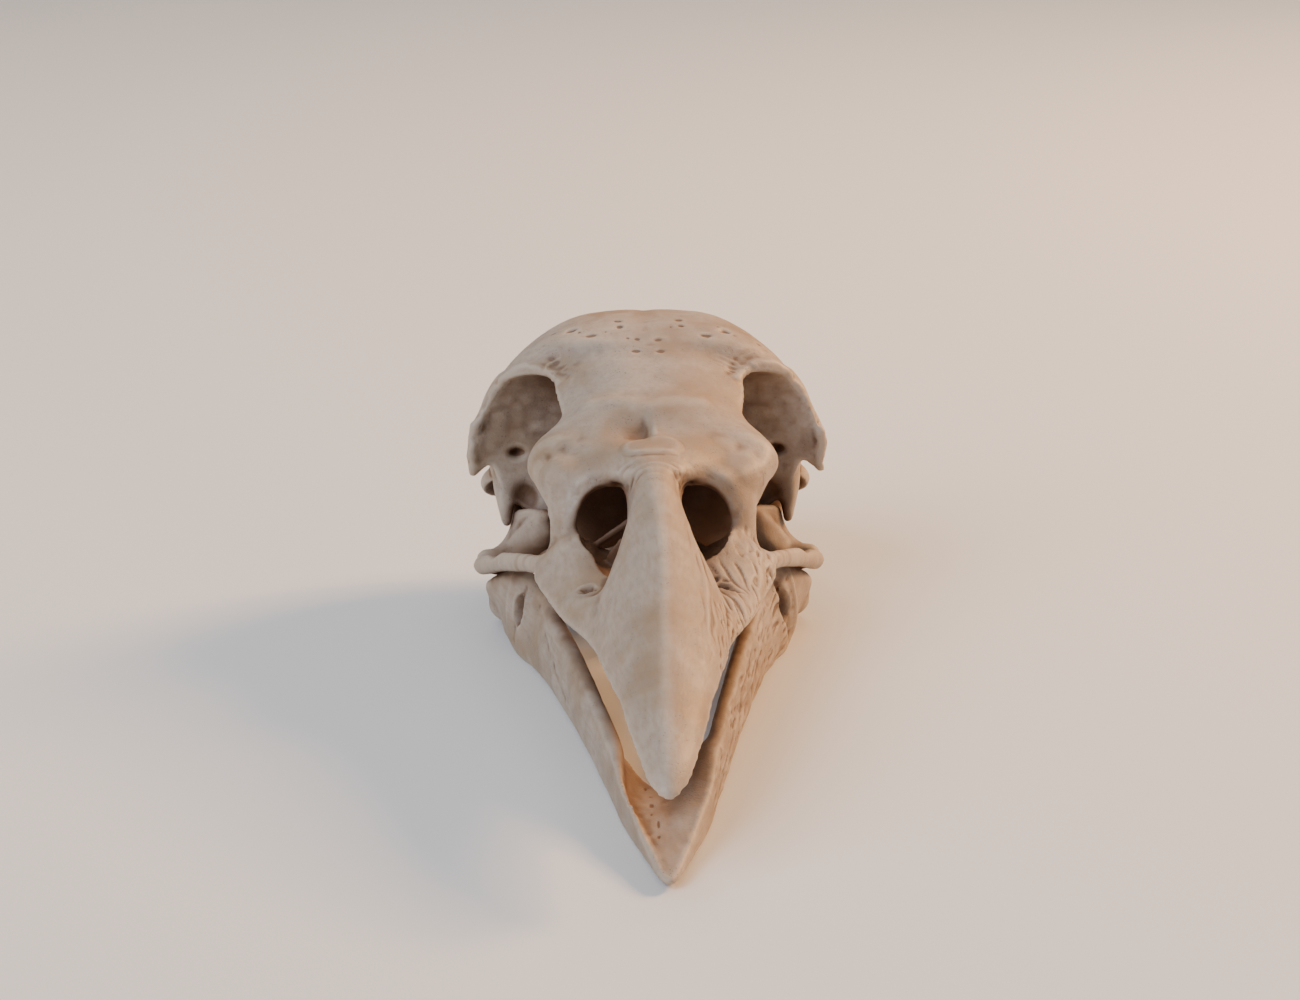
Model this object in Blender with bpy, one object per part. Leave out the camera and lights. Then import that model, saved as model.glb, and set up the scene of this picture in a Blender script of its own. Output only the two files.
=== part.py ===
"""A raven's skull with its jaw a little open, life size, as separate bones that rest on a flat surface.

Every bone is blocked out from lofts, tubes and ellipsoids, merged and rounded by a voxel remesh, and then cut
by the shapes of its openings. All sizes are millimetres from the jaw joint: x to the right as seen from the
bill, y towards the back of the head, z up. One empty carries the bones to their place above the floor.
"""

import math

import bmesh
import bpy
import numpy as np
from mathutils import Euler, Matrix, Vector

MM = 0.001                      # metres in a millimetre

# Driving dimensions, in millimetres from the jaw joint's axis.
JOINT_HEIGHT = 6.0              # jaw joint above the floor
JOINT_BACK = 25.3               # jaw joint behind the middle of the skull's length
OCCIPUT = 29.6                  # rearmost point of the braincase
HINGE = -17.4                   # thin bending line between the forehead and the bill
JUGAL_ROOT = -20.6              # where the jugal rods are parted from the bill
BILL_TIP = -80.1                # foremost point of the upper bill
JAW_TIP = -80.3                 # foremost point of the lower jaw
VAULT_TOP = 32.9                # top of the braincase
VAULT_WIDTH = 21.4              # half the width of the braincase
POSTORBITAL_WIDTH = 23.3        # half the width across the hooks behind the eyes
WAIST = 11.1                    # half the width of the forehead between the eyes
BROW = 15.5                     # half the width of the forehead's front lobes
TIP_LEAN = 0.5                  # how far the tips of bill and jaw bend to the left
RIDGE_BOW = 0.5                 # how far the bill's ridge bows to the right half-way
BOW_MIDDLE = -43.0              # where it bows most
BOW_LENGTH = 11.0               # over what length the bow fades, before and behind
GAP = 0.3                       # clearance between neighbouring bones

# Fineness of the surface.
VOXEL = 0.4                     # edge of a voxel in the remeshes, in millimetres
TRIANGLES = {"cranium": 4000, "upper_bill": 2300, "mandible": 1700, "quadrate": 340, "jugal": 150,
             "pterygoid": 120, "palatine": 200}
BONE_COLOUR = (0.56, 0.49, 0.40, 1.0)


# ---------------------------------------------------------------- helpers

def point(x, y, z):
    """A place in metres from millimetres."""
    return Vector((x, y, z)) * MM


def through(stations, steps=4):
    """A smooth table of rows through the given stations: a Catmull-Rom curve, column by column."""
    rows = np.array(stations, dtype=float)
    before = 2 * rows[0] - rows[1]
    after = 2 * rows[-1] - rows[-2]
    padded = np.vstack([before, rows, after])
    table = []
    for i in range(1, len(padded) - 2):
        a, b, c, d = padded[i - 1:i + 3]
        for step in range(steps):
            t = step / steps
            table.append(0.5 * (2 * b + (c - a) * t + (2 * a - 5 * b + 4 * c - d) * t ** 2
                                + (3 * b - a - 3 * c + d) * t ** 3))
    table.append(padded[-2])
    return np.array(table)


def lean(y):
    """How far the middle line is bent to the right at y: nothing behind y -50, most at the tips."""
    return -TIP_LEAN * min(max((-50.0 - y) / 30.0, 0.0), 1.0) ** 2


def add_rings(bm, rings):
    """Closed body through rings of as many points each, bent with the middle line."""
    loops = [[bm.verts.new(p + point(lean(p.y / MM), 0, 0)) for p in ring] for ring in rings]
    for near, far in zip(loops, loops[1:]):
        count = len(near)
        for i in range(count):
            j = (i + 1) % count
            bm.faces.new((near[i], near[j], far[j], far[i]))
    bm.faces.new(loops[0][::-1])
    bm.faces.new(loops[-1])


def add_ellipsoid(bm, centre, radii, turn=(0.0, 0.0, 0.0)):
    """Ellipsoid at a place in millimetres, turned by degrees about x, y and z."""
    angles = Euler([math.radians(a) for a in turn])
    place = Matrix.LocRotScale(point(*centre), angles, Vector(radii) * MM)
    bmesh.ops.create_uvsphere(bm, u_segments=32, v_segments=20, radius=1.0, matrix=place)


def add_tube(bm, stations, sides=16):
    """Tube through stations (x, y, z, half width, half height), square to its path at each ring."""
    table = through(stations)
    centres = [Vector(row[:3]) for row in table]
    rings = []
    for i, row in enumerate(table):
        ahead = centres[min(i + 1, len(centres) - 1)] - centres[max(i - 1, 0)]
        ahead.normalize()
        across = ahead.cross(Vector((0.0, 0.0, 1.0)))
        if across.length < 0.2:
            across = ahead.cross(Vector((0.0, 1.0, 0.0)))
        across.normalize()
        rise = across.cross(ahead)
        ring = []
        for k in range(sides):
            turn = 2 * math.pi * k / sides
            offset = across * (row[3] * math.cos(turn)) + rise * (row[4] * math.sin(turn))
            ring.append((centres[i] + offset) * MM)
        rings.append(ring)
    add_rings(bm, rings)


def add_column(bm, side, stations, sides=16):
    """Upright body with level oval rings (x, y, z, long half axis, short half axis, its turn in degrees)."""
    rings = []
    for x, y, z, long, short, turn in through(stations):
        c, s = math.cos(math.radians(turn)), math.sin(math.radians(turn))
        ring = []
        for k in range(sides):
            u = long * math.cos(2 * math.pi * k / sides)
            v = short * math.sin(2 * math.pi * k / sides)
            ring.append(point(side * (x + u * c - v * s), y + u * s + v * c, z))
        rings.append(ring)
    add_rings(bm, rings)


def mirrored(stations, side):
    """The same stations on the given side of the middle: 1 is the right, -1 the left."""
    return [(side * s[0],) + tuple(s[1:]) for s in stations]


def power(value, exponent):
    """A signed power, for the rounded-square outlines of the lofts."""
    return math.copysign(abs(value) ** exponent, value)


def finished_mesh(name, bm):
    """The mesh of a bmesh whose shells all face outwards."""
    bmesh.ops.recalc_face_normals(bm, faces=bm.faces[:])
    mesh = bpy.data.meshes.new(name)
    bm.to_mesh(mesh)
    bm.free()
    return mesh


def bone(name, bm, frame, rounding=5):
    """A bone's object: its shells merged by a voxel remesh and rounded off."""
    obj = bpy.data.objects.new(name, finished_mesh(name, bm))
    bpy.context.scene.collection.objects.link(obj)
    obj.parent = frame
    merge_shells(obj, rounding)
    obj.data.materials.append(bone_material(name))
    return obj


def cutter(name, bm, frame):
    """A hidden shape that is taken away from bones."""
    obj = bpy.data.objects.new(name, finished_mesh(name, bm))
    bpy.context.scene.collection.objects.link(obj)
    obj.parent = frame
    obj.hide_render = True
    obj.display_type = 'WIRE'
    return obj


def carve(obj, name, bm, frame, rounding=2):
    """Take away rounded hollows, all of them as one shape, and soften the edges they leave."""
    tool = cutter(name, bm, frame)
    merge_shells(tool, rounding)
    cut(obj, tool)
    merge_shells(obj, rounding)


def cut(obj, tool):
    """Take a cutter's shape away from a bone."""
    change = obj.modifiers.new(tool.name, 'BOOLEAN')
    change.operation = 'DIFFERENCE'
    change.solver = 'EXACT'
    change.object = tool


def thin_out(obj, triangles):
    """Reduce a bone to about this many triangles, kept where the surface bends most."""
    graph = bpy.context.evaluated_depsgraph_get()
    fine = obj.evaluated_get(graph).to_mesh()
    fine.calc_loop_triangles()
    change = obj.modifiers.new("thin_out", 'DECIMATE')
    change.ratio = triangles / len(fine.loop_triangles)
    change.use_collapse_triangulate = True


def bone_material(name):
    """Dry bone: matt, warm grey."""
    material = bpy.data.materials.new(name + "_bone")
    material.use_nodes = True
    shader = material.node_tree.nodes["Principled BSDF"]
    shader.inputs["Base Color"].default_value = BONE_COLOUR
    shader.inputs["Roughness"].default_value = 0.6
    shader.inputs["Metallic"].default_value = 0.0
    return material


def add_slab(bm, low, high):
    """Box between two corners in millimetres."""
    centre = (Vector(low) + Vector(high)) / 2 * MM
    size = (Vector(high) - Vector(low)) * MM
    bmesh.ops.create_cube(bm, size=1.0, matrix=Matrix.LocRotScale(centre, None, size))


# ---------------------------------------------------------------- cranium

def add_vault(bm):
    """Braincase: rounded-square sections from the rim of the eye sockets to the occiput."""
    # y, half width, top, bottom, height of the widest place, squareness
    stations = [
        (2.0, 11.0, 30.8, 7.0, 17.0, 3.0),
        (3.4, 17.0, 31.4, 4.6, 16.5, 3.3),
        (5.2, 19.9, 31.9, 3.2, 16.0, 3.1),
        (8.0, 20.6, 32.6, 2.0, 15.5, 2.6),
        (11.0, VAULT_WIDTH, VAULT_TOP, 1.4, 15.0, 2.3),
        (15.0, VAULT_WIDTH - 0.6, 32.5, 1.3, 15.0, 2.2),
        (19.5, 18.9, 30.9, 2.4, 15.5, 2.1),
        (24.0, 15.0, 27.4, 5.6, 16.0, 2.0),
        (27.2, 10.2, 23.2, 9.4, 16.3, 2.0),
        (29.0, 5.2, 19.6, 13.2, 16.4, 2.0),
        (OCCIPUT, 1.2, 17.2, 15.8, 16.5, 2.0),
    ]
    rings = []
    for y, width, top, bottom, middle, square in through(stations):
        ring = []
        for k in range(40):
            turn = 2 * math.pi * k / 40
            height = top - middle if math.sin(turn) > 0 else middle - bottom
            bend = 2 / square if math.sin(turn) > 0 else 1.0
            ring.append(point(width * power(math.cos(turn), bend), y,
                              middle + height * power(math.sin(turn), bend)))
        rings.append(ring)
    add_rings(bm, rings)


def add_forehead(bm):
    """Frontal bones: an arched plate from the bill's root to the braincase, narrow between the eyes."""
    # y, half width, height in the middle, height at the edge, thickness in the middle and at the edge
    stations = [
        (-25.5, 2.4, 23.0, 22.2, 1.6, 1.2),
        (-22.8, 4.8, 23.5, 21.2, 2.4, 1.6),
        (-20.0, 8.4, 23.9, 20.3, 2.8, 2.0),
        (-17.5, 11.4, 24.3, 19.6, 3.2, 2.4),
        (-15.0, 13.6, 24.7, 19.8, 4.0, 2.8),
        (-12.4, BROW - 0.6, 25.7, 20.8, 5.0, 3.0),
        (-10.2, 14.4, 26.7, 21.6, 5.0, 2.8),
        (-8.2, 12.2, 27.4, 23.0, 4.5, 2.2),
        (-6.0, WAIST, 28.1, 23.9, 4.5, 1.6),
        (-3.6, WAIST + 0.2, 29.0, 24.8, 4.5, 1.6),
        (-1.0, WAIST + 0.9, 29.9, 25.7, 4.5, 1.6),
        (1.4, WAIST + 1.7, 30.6, 26.5, 5.0, 1.6),
        (3.0, 16.0, 31.2, 26.8, 6.0, 2.0),
        (5.0, 18.9, 31.9, 26.2, 8.0, 3.0),
        (8.0, 19.4, 32.4, 25.4, 10.0, 5.0),
    ]
    rings = []
    for y, width, middle, edge, deep, thin in through(stations):
        across = np.linspace(-1.0, 1.0, 15)
        over = [point(width * s, y, middle - (middle - edge) * abs(s) ** 2.2) for s in across]
        under = [point(width * 0.97 * s, y,
                       middle - (middle - edge) * abs(s) ** 2.2 - deep + (deep - thin) * abs(s))
                 for s in across[::-1]]
        rings.append(over + under)
    add_rings(bm, rings)


def add_partition(bm):
    """The thin wall between the eyes, standing on the rod of the skull's floor."""
    # y, top, bottom, half thickness at the top, half thickness at the bottom
    stations = [
        (-18.6, 22.6, 10.4, 1.6, 0.9),
        (-14.0, 23.4, 9.2, 2.4, 1.2),
        (-8.0, 25.4, 7.6, 2.0, 1.0),
        (-2.0, 27.4, 6.4, 2.2, 1.0),
        (4.0, 29.0, 5.0, 4.0, 3.0),
    ]
    rings = []
    for y, top, bottom, above, below in through(stations):
        middle = (top + bottom) / 2
        rings.append([point(-above, y, top), point(-below, y, middle), point(-below, y, bottom),
                      point(below, y, bottom), point(below, y, middle), point(above, y, top)])
    add_rings(bm, rings)
    add_tube(bm, [(0, 8.0, 3.8, 4.5, 2.4), (0, 1.0, 5.4, 2.6, 1.8), (0, -7.0, 7.2, 1.5, 1.4),
                  (0, -15.0, 9.2, 1.3, 1.2), (0, -22.0, 10.8, 0.9, 0.9)])


def add_brow_lobe(bm, side):
    """Ectethmoid: the swollen wall in front of the eye."""
    add_ellipsoid(bm, (side * 9.0, -12.7, 19.4), (6.5, 3.0, 4.3))
    add_ellipsoid(bm, (side * 6.9, -13.0, 13.9), (6.0, 2.3, 5.4))


def add_brow_root(bm, side):
    """Lacrimal: the outer swelling that runs from the brow lobe to the nose, across the bending line."""
    add_column(bm, side, [
        (11.2, -15.4, 21.6, 2.6, 1.2, 55),
        (12.0, -16.0, 20.4, 4.4, 1.8, 58),
        (12.2, -16.6, 18.6, 4.5, 1.6, 60),
        (11.8, -17.4, 16.8, 3.6, 1.3, 60),
        (11.4, -18.8, 15.2, 2.0, 1.0, 60),
    ])


def add_rear_wall(bm, side):
    """Wing behind the eye that ends in the hooked postorbital process."""
    add_column(bm, side, [
        (14.6, 7.0, 26.2, 4.4, 2.6, 0),
        (16.4, 6.8, 24.0, 4.2, 2.5, 0),
        (18.0, 6.6, 21.4, 3.7, 2.4, 0),
        (19.6, 6.3, 18.5, 3.5, 2.1, 0),
        (20.5, 6.1, 16.2, 2.9, 1.7, 0),
        (21.7, 6.0, 14.6, 1.7, 1.1, 0),
        (POSTORBITAL_WIDTH - 0.5, 5.9, 12.5, 0.5, 0.6, 0),
    ])


def add_zygomatic(bm, side):
    """Spike in front of the ear that points down."""
    add_tube(bm, mirrored([
        (18.0, 10.4, 15.0, 2.0, 2.2),
        (19.0, 8.2, 12.0, 1.4, 1.8),
        (18.8, 6.2, 9.4, 1.1, 1.4),
        (18.5, 4.6, 6.5, 0.6, 0.7),
    ], side))


def add_ear_wing(bm, side):
    """Rim behind the ear: the exoccipital wing, with the thick wall that joins it to the floor."""
    add_ellipsoid(bm, (side * 18.9, 13.4, 9.4), (3.2, 2.8, 2.4))
    add_ellipsoid(bm, (side * 15.0, 15.2, 6.8), (3.8, 3.4, 4.2), (0, 0, side * 15))
    add_ellipsoid(bm, (side * 11.5, 15.0, 5.6), (6.0, 4.2, 4.2))


def add_skull_floor(bm):
    """Basitemporal plate, and the knob that the neck joins."""
    add_ellipsoid(bm, (0, 9.0, 3.6), (9.0, 8.4, 2.9))
    add_ellipsoid(bm, (0, 20.4, 2.9), (1.7, 1.7, 1.4))


def merge_shells(obj, rounding):
    """Turn overlapping shells into one surface and round it off."""
    merge = obj.modifiers.new("merge", 'REMESH')
    merge.mode = 'VOXEL'
    merge.voxel_size = VOXEL * MM
    soft = obj.modifiers.new("round", 'SMOOTH')
    soft.iterations = rounding


def add_eye_socket(bm, side):
    """The hollow of an eye: rounded-square sections from the brow lobe to the braincase."""
    # y, middle x, middle z, half width, half height
    stations = [
        (-11.4, 14.0, 15.4, 4.6, 3.0),
        (-10.6, 14.6, 15.0, 9.6, 5.8),
        (-8.4, 15.2, 14.4, 12.8, 8.3),
        (-5.0, 15.4, 14.2, 13.7, 9.3),
        (-2.0, 15.7, 14.8, 13.9, 10.4),
        (0.6, 16.2, 15.6, 13.6, 11.0),
        (2.6, 16.2, 16.6, 12.2, 10.4),
        (4.2, 15.8, 17.0, 9.4, 9.2),
        (5.3, 15.2, 17.4, 7.0, 7.4),
        (6.1, 14.6, 17.6, 4.4, 5.0),
        (6.8, 14.4, 17.6, 0.6, 0.8),
    ]
    rings = []
    for y, x, z, wide, high in through(stations):
        ring = []
        for k in range(32):
            turn = 2 * math.pi * k / 32
            ring.append(point(side * (x + wide * power(math.cos(turn), 0.72)), y,
                              z + high * power(math.sin(turn), 0.72)))
        rings.append(ring)
    add_rings(bm, rings)


def add_cranium_hollows(bm):
    """Eye sockets, ear hollows, the neck's opening, and the window in the wall between the eyes."""
    for side in (-1, 1):
        add_eye_socket(bm, side)
        add_ellipsoid(bm, (side * 17.4, 10.8, 7.0), (4.8, 3.3, 4.2), (0, 0, side * 10))
        add_ellipsoid(bm, (side * 16.6, 8.8, 4.4), (4.8, 4.0, 3.2))
    add_ellipsoid(bm, (0, 24.0, 4.2), (3.6, 3.6, 3.6))
    add_ellipsoid(bm, (0, -0.6, 12.6), (5.0, 2.8, 2.2), (-25, 0, 0))


def make_cranium(frame):
    bm = bmesh.new()
    add_vault(bm)
    add_forehead(bm)
    add_partition(bm)
    add_skull_floor(bm)
    for side in (-1, 1):
        add_brow_lobe(bm, side)
        add_brow_root(bm, side)
        add_rear_wall(bm, side)
        add_zygomatic(bm, side)
        add_ear_wing(bm, side)
    cranium = bone("cranium", bm, frame)
    hollows = bmesh.new()
    add_cranium_hollows(hollows)
    carve(cranium, "cranium_hollows", hollows, frame)
    cut(cranium, block("before_the_hinge", frame, (-30, -60, -10), (30, HINGE + GAP / 2, 45)))
    thin_out(cranium, TRIANGLES["cranium"])
    return cranium


def block(name, frame, low, high):
    """A box between two corners that takes away all of a bone inside it."""
    bm = bmesh.new()
    add_slab(bm, low, high)
    return cutter(name, bm, frame)


# ---------------------------------------------------------------- upper bill

def add_ridge(bm):
    """Premaxilla: gable sections with a crisp ridge, a narrow bar between the nostrils, full in front."""
    # y, half width, cutting edge, ridge, crispness of the ridge
    stations = [
        (-16.0, 4.6, 19.6, 23.6, 0.7),
        (-21.0, 4.0, 18.0, 23.4, 0.7),
        (-25.0, 3.5, 14.2, 23.1, 0.75),
        (-28.0, 3.8, 11.6, 22.5, 0.85),
        (-32.0, 4.9, 9.8, 21.6, 1.05),
        (-36.0, 6.3, 8.8, 20.5, 1.3),
        (-40.0, 7.4, 8.2, 19.5, 1.5),
        (-47.5, 7.7, 8.2, 17.6, 1.6),
        (-55.0, 6.85, 8.3, 15.4, 1.6),
        (-61.0, 5.75, 7.9, 13.4, 1.55),
        (-68.0, 4.65, 7.0, 11.0, 1.5),
        (-73.0, 3.5, 6.0, 9.1, 1.45),
        (-77.0, 2.3, 5.0, 7.3, 1.35),
        (BILL_TIP + 0.7, 1.1, 4.2, 5.6, 1.2),
        (BILL_TIP, 0.4, 3.9, 4.8, 1.0),
    ]
    rings = []
    for y, width, edge, ridge, crisp in through(stations):
        high = ridge - edge
        side = []
        for k in range(1, 9):
            turn = math.pi / 2 * k / 8
            side.append((width * math.sin(turn) ** crisp, edge + high * math.cos(turn)))
        outline = [(0, ridge)] + side + [(0, edge)] + [(-x, z) for x, z in side[::-1]]
        bow = RIDGE_BOW * math.exp(-((y - BOW_MIDDLE) / BOW_LENGTH) ** 2)
        rings.append([point(x + bow * (z - edge) / high, y, z) for x, z in outline])
    add_rings(bm, rings)


def add_cheeks(bm):
    """Maxilla: the low shelf under the nostrils that flares out to the roots of the jugal rods."""
    # y, half width, cutting edge, top in the middle
    stations = [
        (-21.4, 12.0, 9.0, 13.0),
        (-23.0, 13.9, 8.6, 15.4),
        (-25.2, 14.6, 8.2, 15.6),
        (-27.4, 14.1, 7.9, 14.4),
        (-30.0, 13.3, 7.7, 13.0),
        (-33.0, 12.6, 7.6, 11.9),
        (-36.0, 11.9, 7.6, 12.0),
        (-39.0, 11.1, 7.7, 12.2),
        (-43.5, 9.6, 7.9, 12.0),
        (-48.0, 8.1, 8.1, 11.4),
        (-54.0, 6.9, 8.2, 10.4),
        (-61.0, 5.6, 7.8, 9.2),
    ]
    rings = []
    for y, width, edge, top in through(stations):
        ring = []
        for k in range(24):
            turn = 2 * math.pi * k / 24
            rise = top - edge - 0.6 if math.sin(turn) > 0 else 0.6
            ring.append(point(width * power(math.cos(turn), 0.9), y, edge + 0.6 + rise * math.sin(turn)))
        rings.append(ring)
    add_rings(bm, rings)


def add_nasal_bar(bm, side):
    """Blade behind the nostril, from the forehead down to the cheek."""
    add_column(bm, side, [
        (6.4, -17.8, 21.2, 3.6, 2.0, 15),
        (8.8, -18.8, 19.6, 3.4, 1.9, 34),
        (10.4, -20.0, 17.2, 2.8, 1.4, 48),
        (10.9, -21.1, 14.0, 2.5, 1.2, 58),
        (11.1, -22.2, 11.6, 2.8, 1.2, 62),
        (12.0, -23.4, 9.6, 3.1, 1.5, 62),
    ])
    add_ellipsoid(bm, (side * 7.2, -20.2, 18.4), (3.2, 1.7, 2.8))


def add_nose_hollow(bm):
    """The nose: a hollow open to the back, and a slanting oval nostril on each side."""
    add_tube(bm, [
        (0, -8.0, 14.6, 9.4, 5.0),
        (0, -18.0, 15.0, 9.8, 4.6),
        (0, -21.5, 14.8, 9.4, 4.4),
        (0, -25.0, 13.6, 8.8, 3.6),
        (0, -28.5, 12.4, 7.6, 2.4),
        (0, -31.5, 11.6, 6.0, 1.4),
    ], 32)
    # the right nostril ends a little higher than the left one
    for side, lift in ((-1, 0.0), (1, 0.4)):
        add_ellipsoid(bm, (side * 5.6, -19.4, 15.2), (3.6, 3.0, 3.2))
        add_ellipsoid(bm, (side * 6.5, -23.4, 16.3), (2.5, 4.4, 3.7), (0, side * -25, 0))
        add_tube(bm, mirrored([
            (6.8, -23.6, 15.0, 1.8, 1.6),
            (6.9, -25.6, 14.5 + lift, 2.2, 2.0),
            (6.7 - lift, -28.2, 13.5 + lift, 2.1 - lift, 1.9 - lift),
            (5.9 - lift, -31.0, 12.5 + lift, 1.5 - lift, 1.3 - lift),
            (5.2 - lift, -33.0, 11.7 + lift, 0.3, 0.3),
        ], side))


def add_palate_trough(bm):
    """Hollow of the palate between the cutting edges."""
    add_tube(bm, [
        (0, -16.0, 7.4, 10.6, 1.6),
        (0, -25.0, 7.4, 10.4, 1.7),
        (0, -35.0, 7.4, 8.8, 1.6),
        (0, -48.0, 7.8, 5.8, 1.6),
        (0, -61.0, 7.6, 3.8, 1.4),
        (0, -72.0, 6.0, 2.0, 1.0),
        (0, -76.0, 5.0, 1.0, 0.5),
    ], 20)


def add_jugal_rod(bm, side):
    """Thin rod from the cheek to the quadrate. Its root belongs to the bill."""
    add_tube(bm, mirrored([
        (13.4, -24.5, 10.4, 1.0, 1.15),
        (14.5, -21.8, 9.7, 0.9, 1.1),
        (15.8, -18.0, 8.6, 0.8, 1.05),
        (18.7, -9.0, 5.7, 0.85, 1.15),
        (20.5, -3.6, 3.6, 0.95, 1.15),
        (21.7, -0.3, 2.4, 1.15, 1.2),
    ], side))


def make_upper_bill(frame):
    bm = bmesh.new()
    add_ridge(bm)
    add_cheeks(bm)
    add_forehead(bm)
    for side in (-1, 1):
        add_brow_root(bm, side)
        add_nasal_bar(bm, side)
        add_jugal_rod(bm, side)
    bill = bone("upper_bill", bm, frame, rounding=4)
    hollows = bmesh.new()
    add_nose_hollow(hollows)
    add_palate_trough(hollows)
    carve(bill, "bill_hollows", hollows, frame, rounding=1)
    cut(bill, block("behind_the_hinge", frame, (-30, HINGE - GAP / 2, -10), (30, 40, 45)))
    for low, high in ((-26.0, -13.2), (13.2, 26.0)):
        cut(bill, block("behind_jugal_root", frame, (low, JUGAL_ROOT - GAP / 2, 0), (high, HINGE, 10.6)))
    thin_out(bill, TRIANGLES["upper_bill"])
    return bill


# ---------------------------------------------------------------- lower jaw

def add_ramus(bm, side):
    """One side of the lower jaw: a blade that deepens and flares out towards the joint."""
    # y, outer face at the top and at the bottom, top, bottom, thickness
    stations = [
        (5.8, 17.6, 16.4, -2.4, -4.4, 2.6),
        (3.2, 21.4, 19.2, -0.4, -5.3, 4.8),
        (0.0, 22.2, 18.9, 0.4, -5.9, 5.2),
        (-4.0, 20.6, 18.6, 2.6, -6.12, 4.4),
        (-9.0, 17.6, 18.4, 4.5, -6.22, 3.5),
        (-12.5, 15.8, 17.5, 4.5, -6.18, 3.1),
        (-15.5, 14.5, 16.2, 3.9, -6.05, 2.9),
        (-22.0, 13.3, 14.0, 2.8, -6.0, 3.0),
        (-28.5, 11.8, 12.5, 2.2, -5.9, 3.0),
        (-36.0, 10.1, 10.7, 1.4, -5.9, 2.7),
        (-46.0, 8.2, 8.6, 0.5, -5.9, 2.6),
        (-53.0, 6.95, 7.3, 0.0, -6.0, 2.5),
        (-59.0, 5.8, 6.0, -0.7, -6.2, 2.0),
        (-64.0, 4.9, 5.0, -1.4, -6.2, 1.4),
        (-69.0, 3.7, 3.75, -2.2, -6.1, 1.2),
        (-74.0, 2.5, 2.4, -3.1, -5.8, 1.1),
        (-78.5, 1.3, 1.2, -4.0, -5.5, 1.1),
        (JAW_TIP, 0.6, 0.5, -4.5, -5.2, 0.9),
    ]
    rings = []
    for y, upper, lower, top, bottom, thick in through(stations):
        ring = []
        for k in range(20):
            turn = 2 * math.pi * k / 20
            share = 0.5 + 0.5 * power(math.sin(turn), 0.75)
            outer = lower + (upper - lower) * share
            # in front the inner face slopes outwards, up to a thin rim
            deep = thick * (1 - 0.6 * min(max((-54.0 - y) / 8.0, 0.0), 1.0) * share)
            ring.append(point(side * (outer - deep / 2 + deep / 2 * power(math.cos(turn), 0.75)), y,
                              bottom + (top - bottom) * share))
        rings.append(ring)
    add_rings(bm, rings)


def add_chin(bm):
    """Symphysis: the scoop that joins the two sides behind the tip, with a long slope on its right."""
    # y, half width, top, bottom, how far the scoop rises to its rims
    stations = [
        (-40.5, 8.6, -5.5, -5.9, 0.0),
        (-46.0, 7.3, -4.7, -6.0, 0.6),
        (-49.0, 6.7, -4.4, -6.0, 1.6),
        (-53.0, 6.0, -4.3, -6.0, 3.2),
        (-57.0, 5.4, -4.1, -6.1, 3.2),
        (-62.0, 4.7, -3.7, -6.2, 2.2),
        (-68.0, 3.5, -3.3, -6.1, 1.0),
        (-74.0, 2.1, -3.6, -5.8, 0.4),
        (-78.5, 1.1, -4.2, -5.4, 0.1),
        (JAW_TIP, 0.5, -4.6, -5.2, 0.0),
    ]
    rings = []
    for y, width, top, bottom, rise in through(stations):
        ring = []
        for k in range(32):
            turn = 2 * math.pi * k / 32
            across = math.cos(turn)
            # the right bank is a long slope, the left one a short fillet
            bank = min(across / 0.8, 1.0) ** 1.4 if across > 0 else 0.7 * abs(across) ** 4
            bank *= min(max(4 * math.sin(turn), 0.0), 1.0)
            ring.append(point(width * across, y, (top + bottom) / 2
                              + (top - bottom) / 2 * power(math.sin(turn), 0.7) + rise * bank))
        rings.append(ring)
    add_rings(bm, rings)


def add_jaw_joint(bm, side):
    """Articular: the broad cup under the quadrate, with its inner spur."""
    add_ellipsoid(bm, (side * 17.5, 0.8, -3.0), (3.5, 4.0, 2.6))
    add_tube(bm, mirrored([(16.5, 0.8, -3.4, 2.2, 2.0), (13.6, 1.6, -2.8, 1.7, 1.6),
                           (11.0, 2.8, -1.8, 1.0, 1.0)], side))


def add_jaw_windows(bm):
    """An oval window through each side of the jaw, and the rounded bay behind the chin."""
    for side, half_length in ((-1, 1.2), (1, 1.7)):
        add_ellipsoid(bm, (side * 16.0, -11.4, 0.0), (4.4, half_length, 2.1))
    add_tube(bm, [(-1.1, -57.6, -5.0, 0.4, 2.6), (-1.1, -55.0, -5.0, 1.7, 3.0),
                  (-0.9, -51.5, -5.0, 2.9, 3.0), (-0.7, -47.5, -5.0, 4.1, 3.0),
                  (-0.5, -43.5, -5.0, 5.6, 2.6), (0.0, -39.5, -5.0, 7.2, 2.2),
                  (0.0, -33.0, -5.0, 7.6, 2.0)], 24)


def floor_slab(frame):
    """Everything under the floor, which leaves small flats where the jaw rests."""
    bm = bmesh.new()
    add_slab(bm, (-40, -90, -20), (40, 40, -JOINT_HEIGHT))
    return cutter("floor_slab", bm, frame)


def make_mandible(frame):
    bm = bmesh.new()
    for side in (-1, 1):
        add_ramus(bm, side)
        add_jaw_joint(bm, side)
    add_chin(bm)
    jaw = bone("mandible", bm, frame, rounding=3)
    hollows = bmesh.new()
    add_jaw_windows(hollows)
    carve(jaw, "jaw_windows", hollows, frame, rounding=1)
    thin_out(jaw, TRIANGLES["mandible"])
    cut(jaw, floor_slab(frame))
    return jaw


# ---------------------------------------------------------------- small bones

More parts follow.
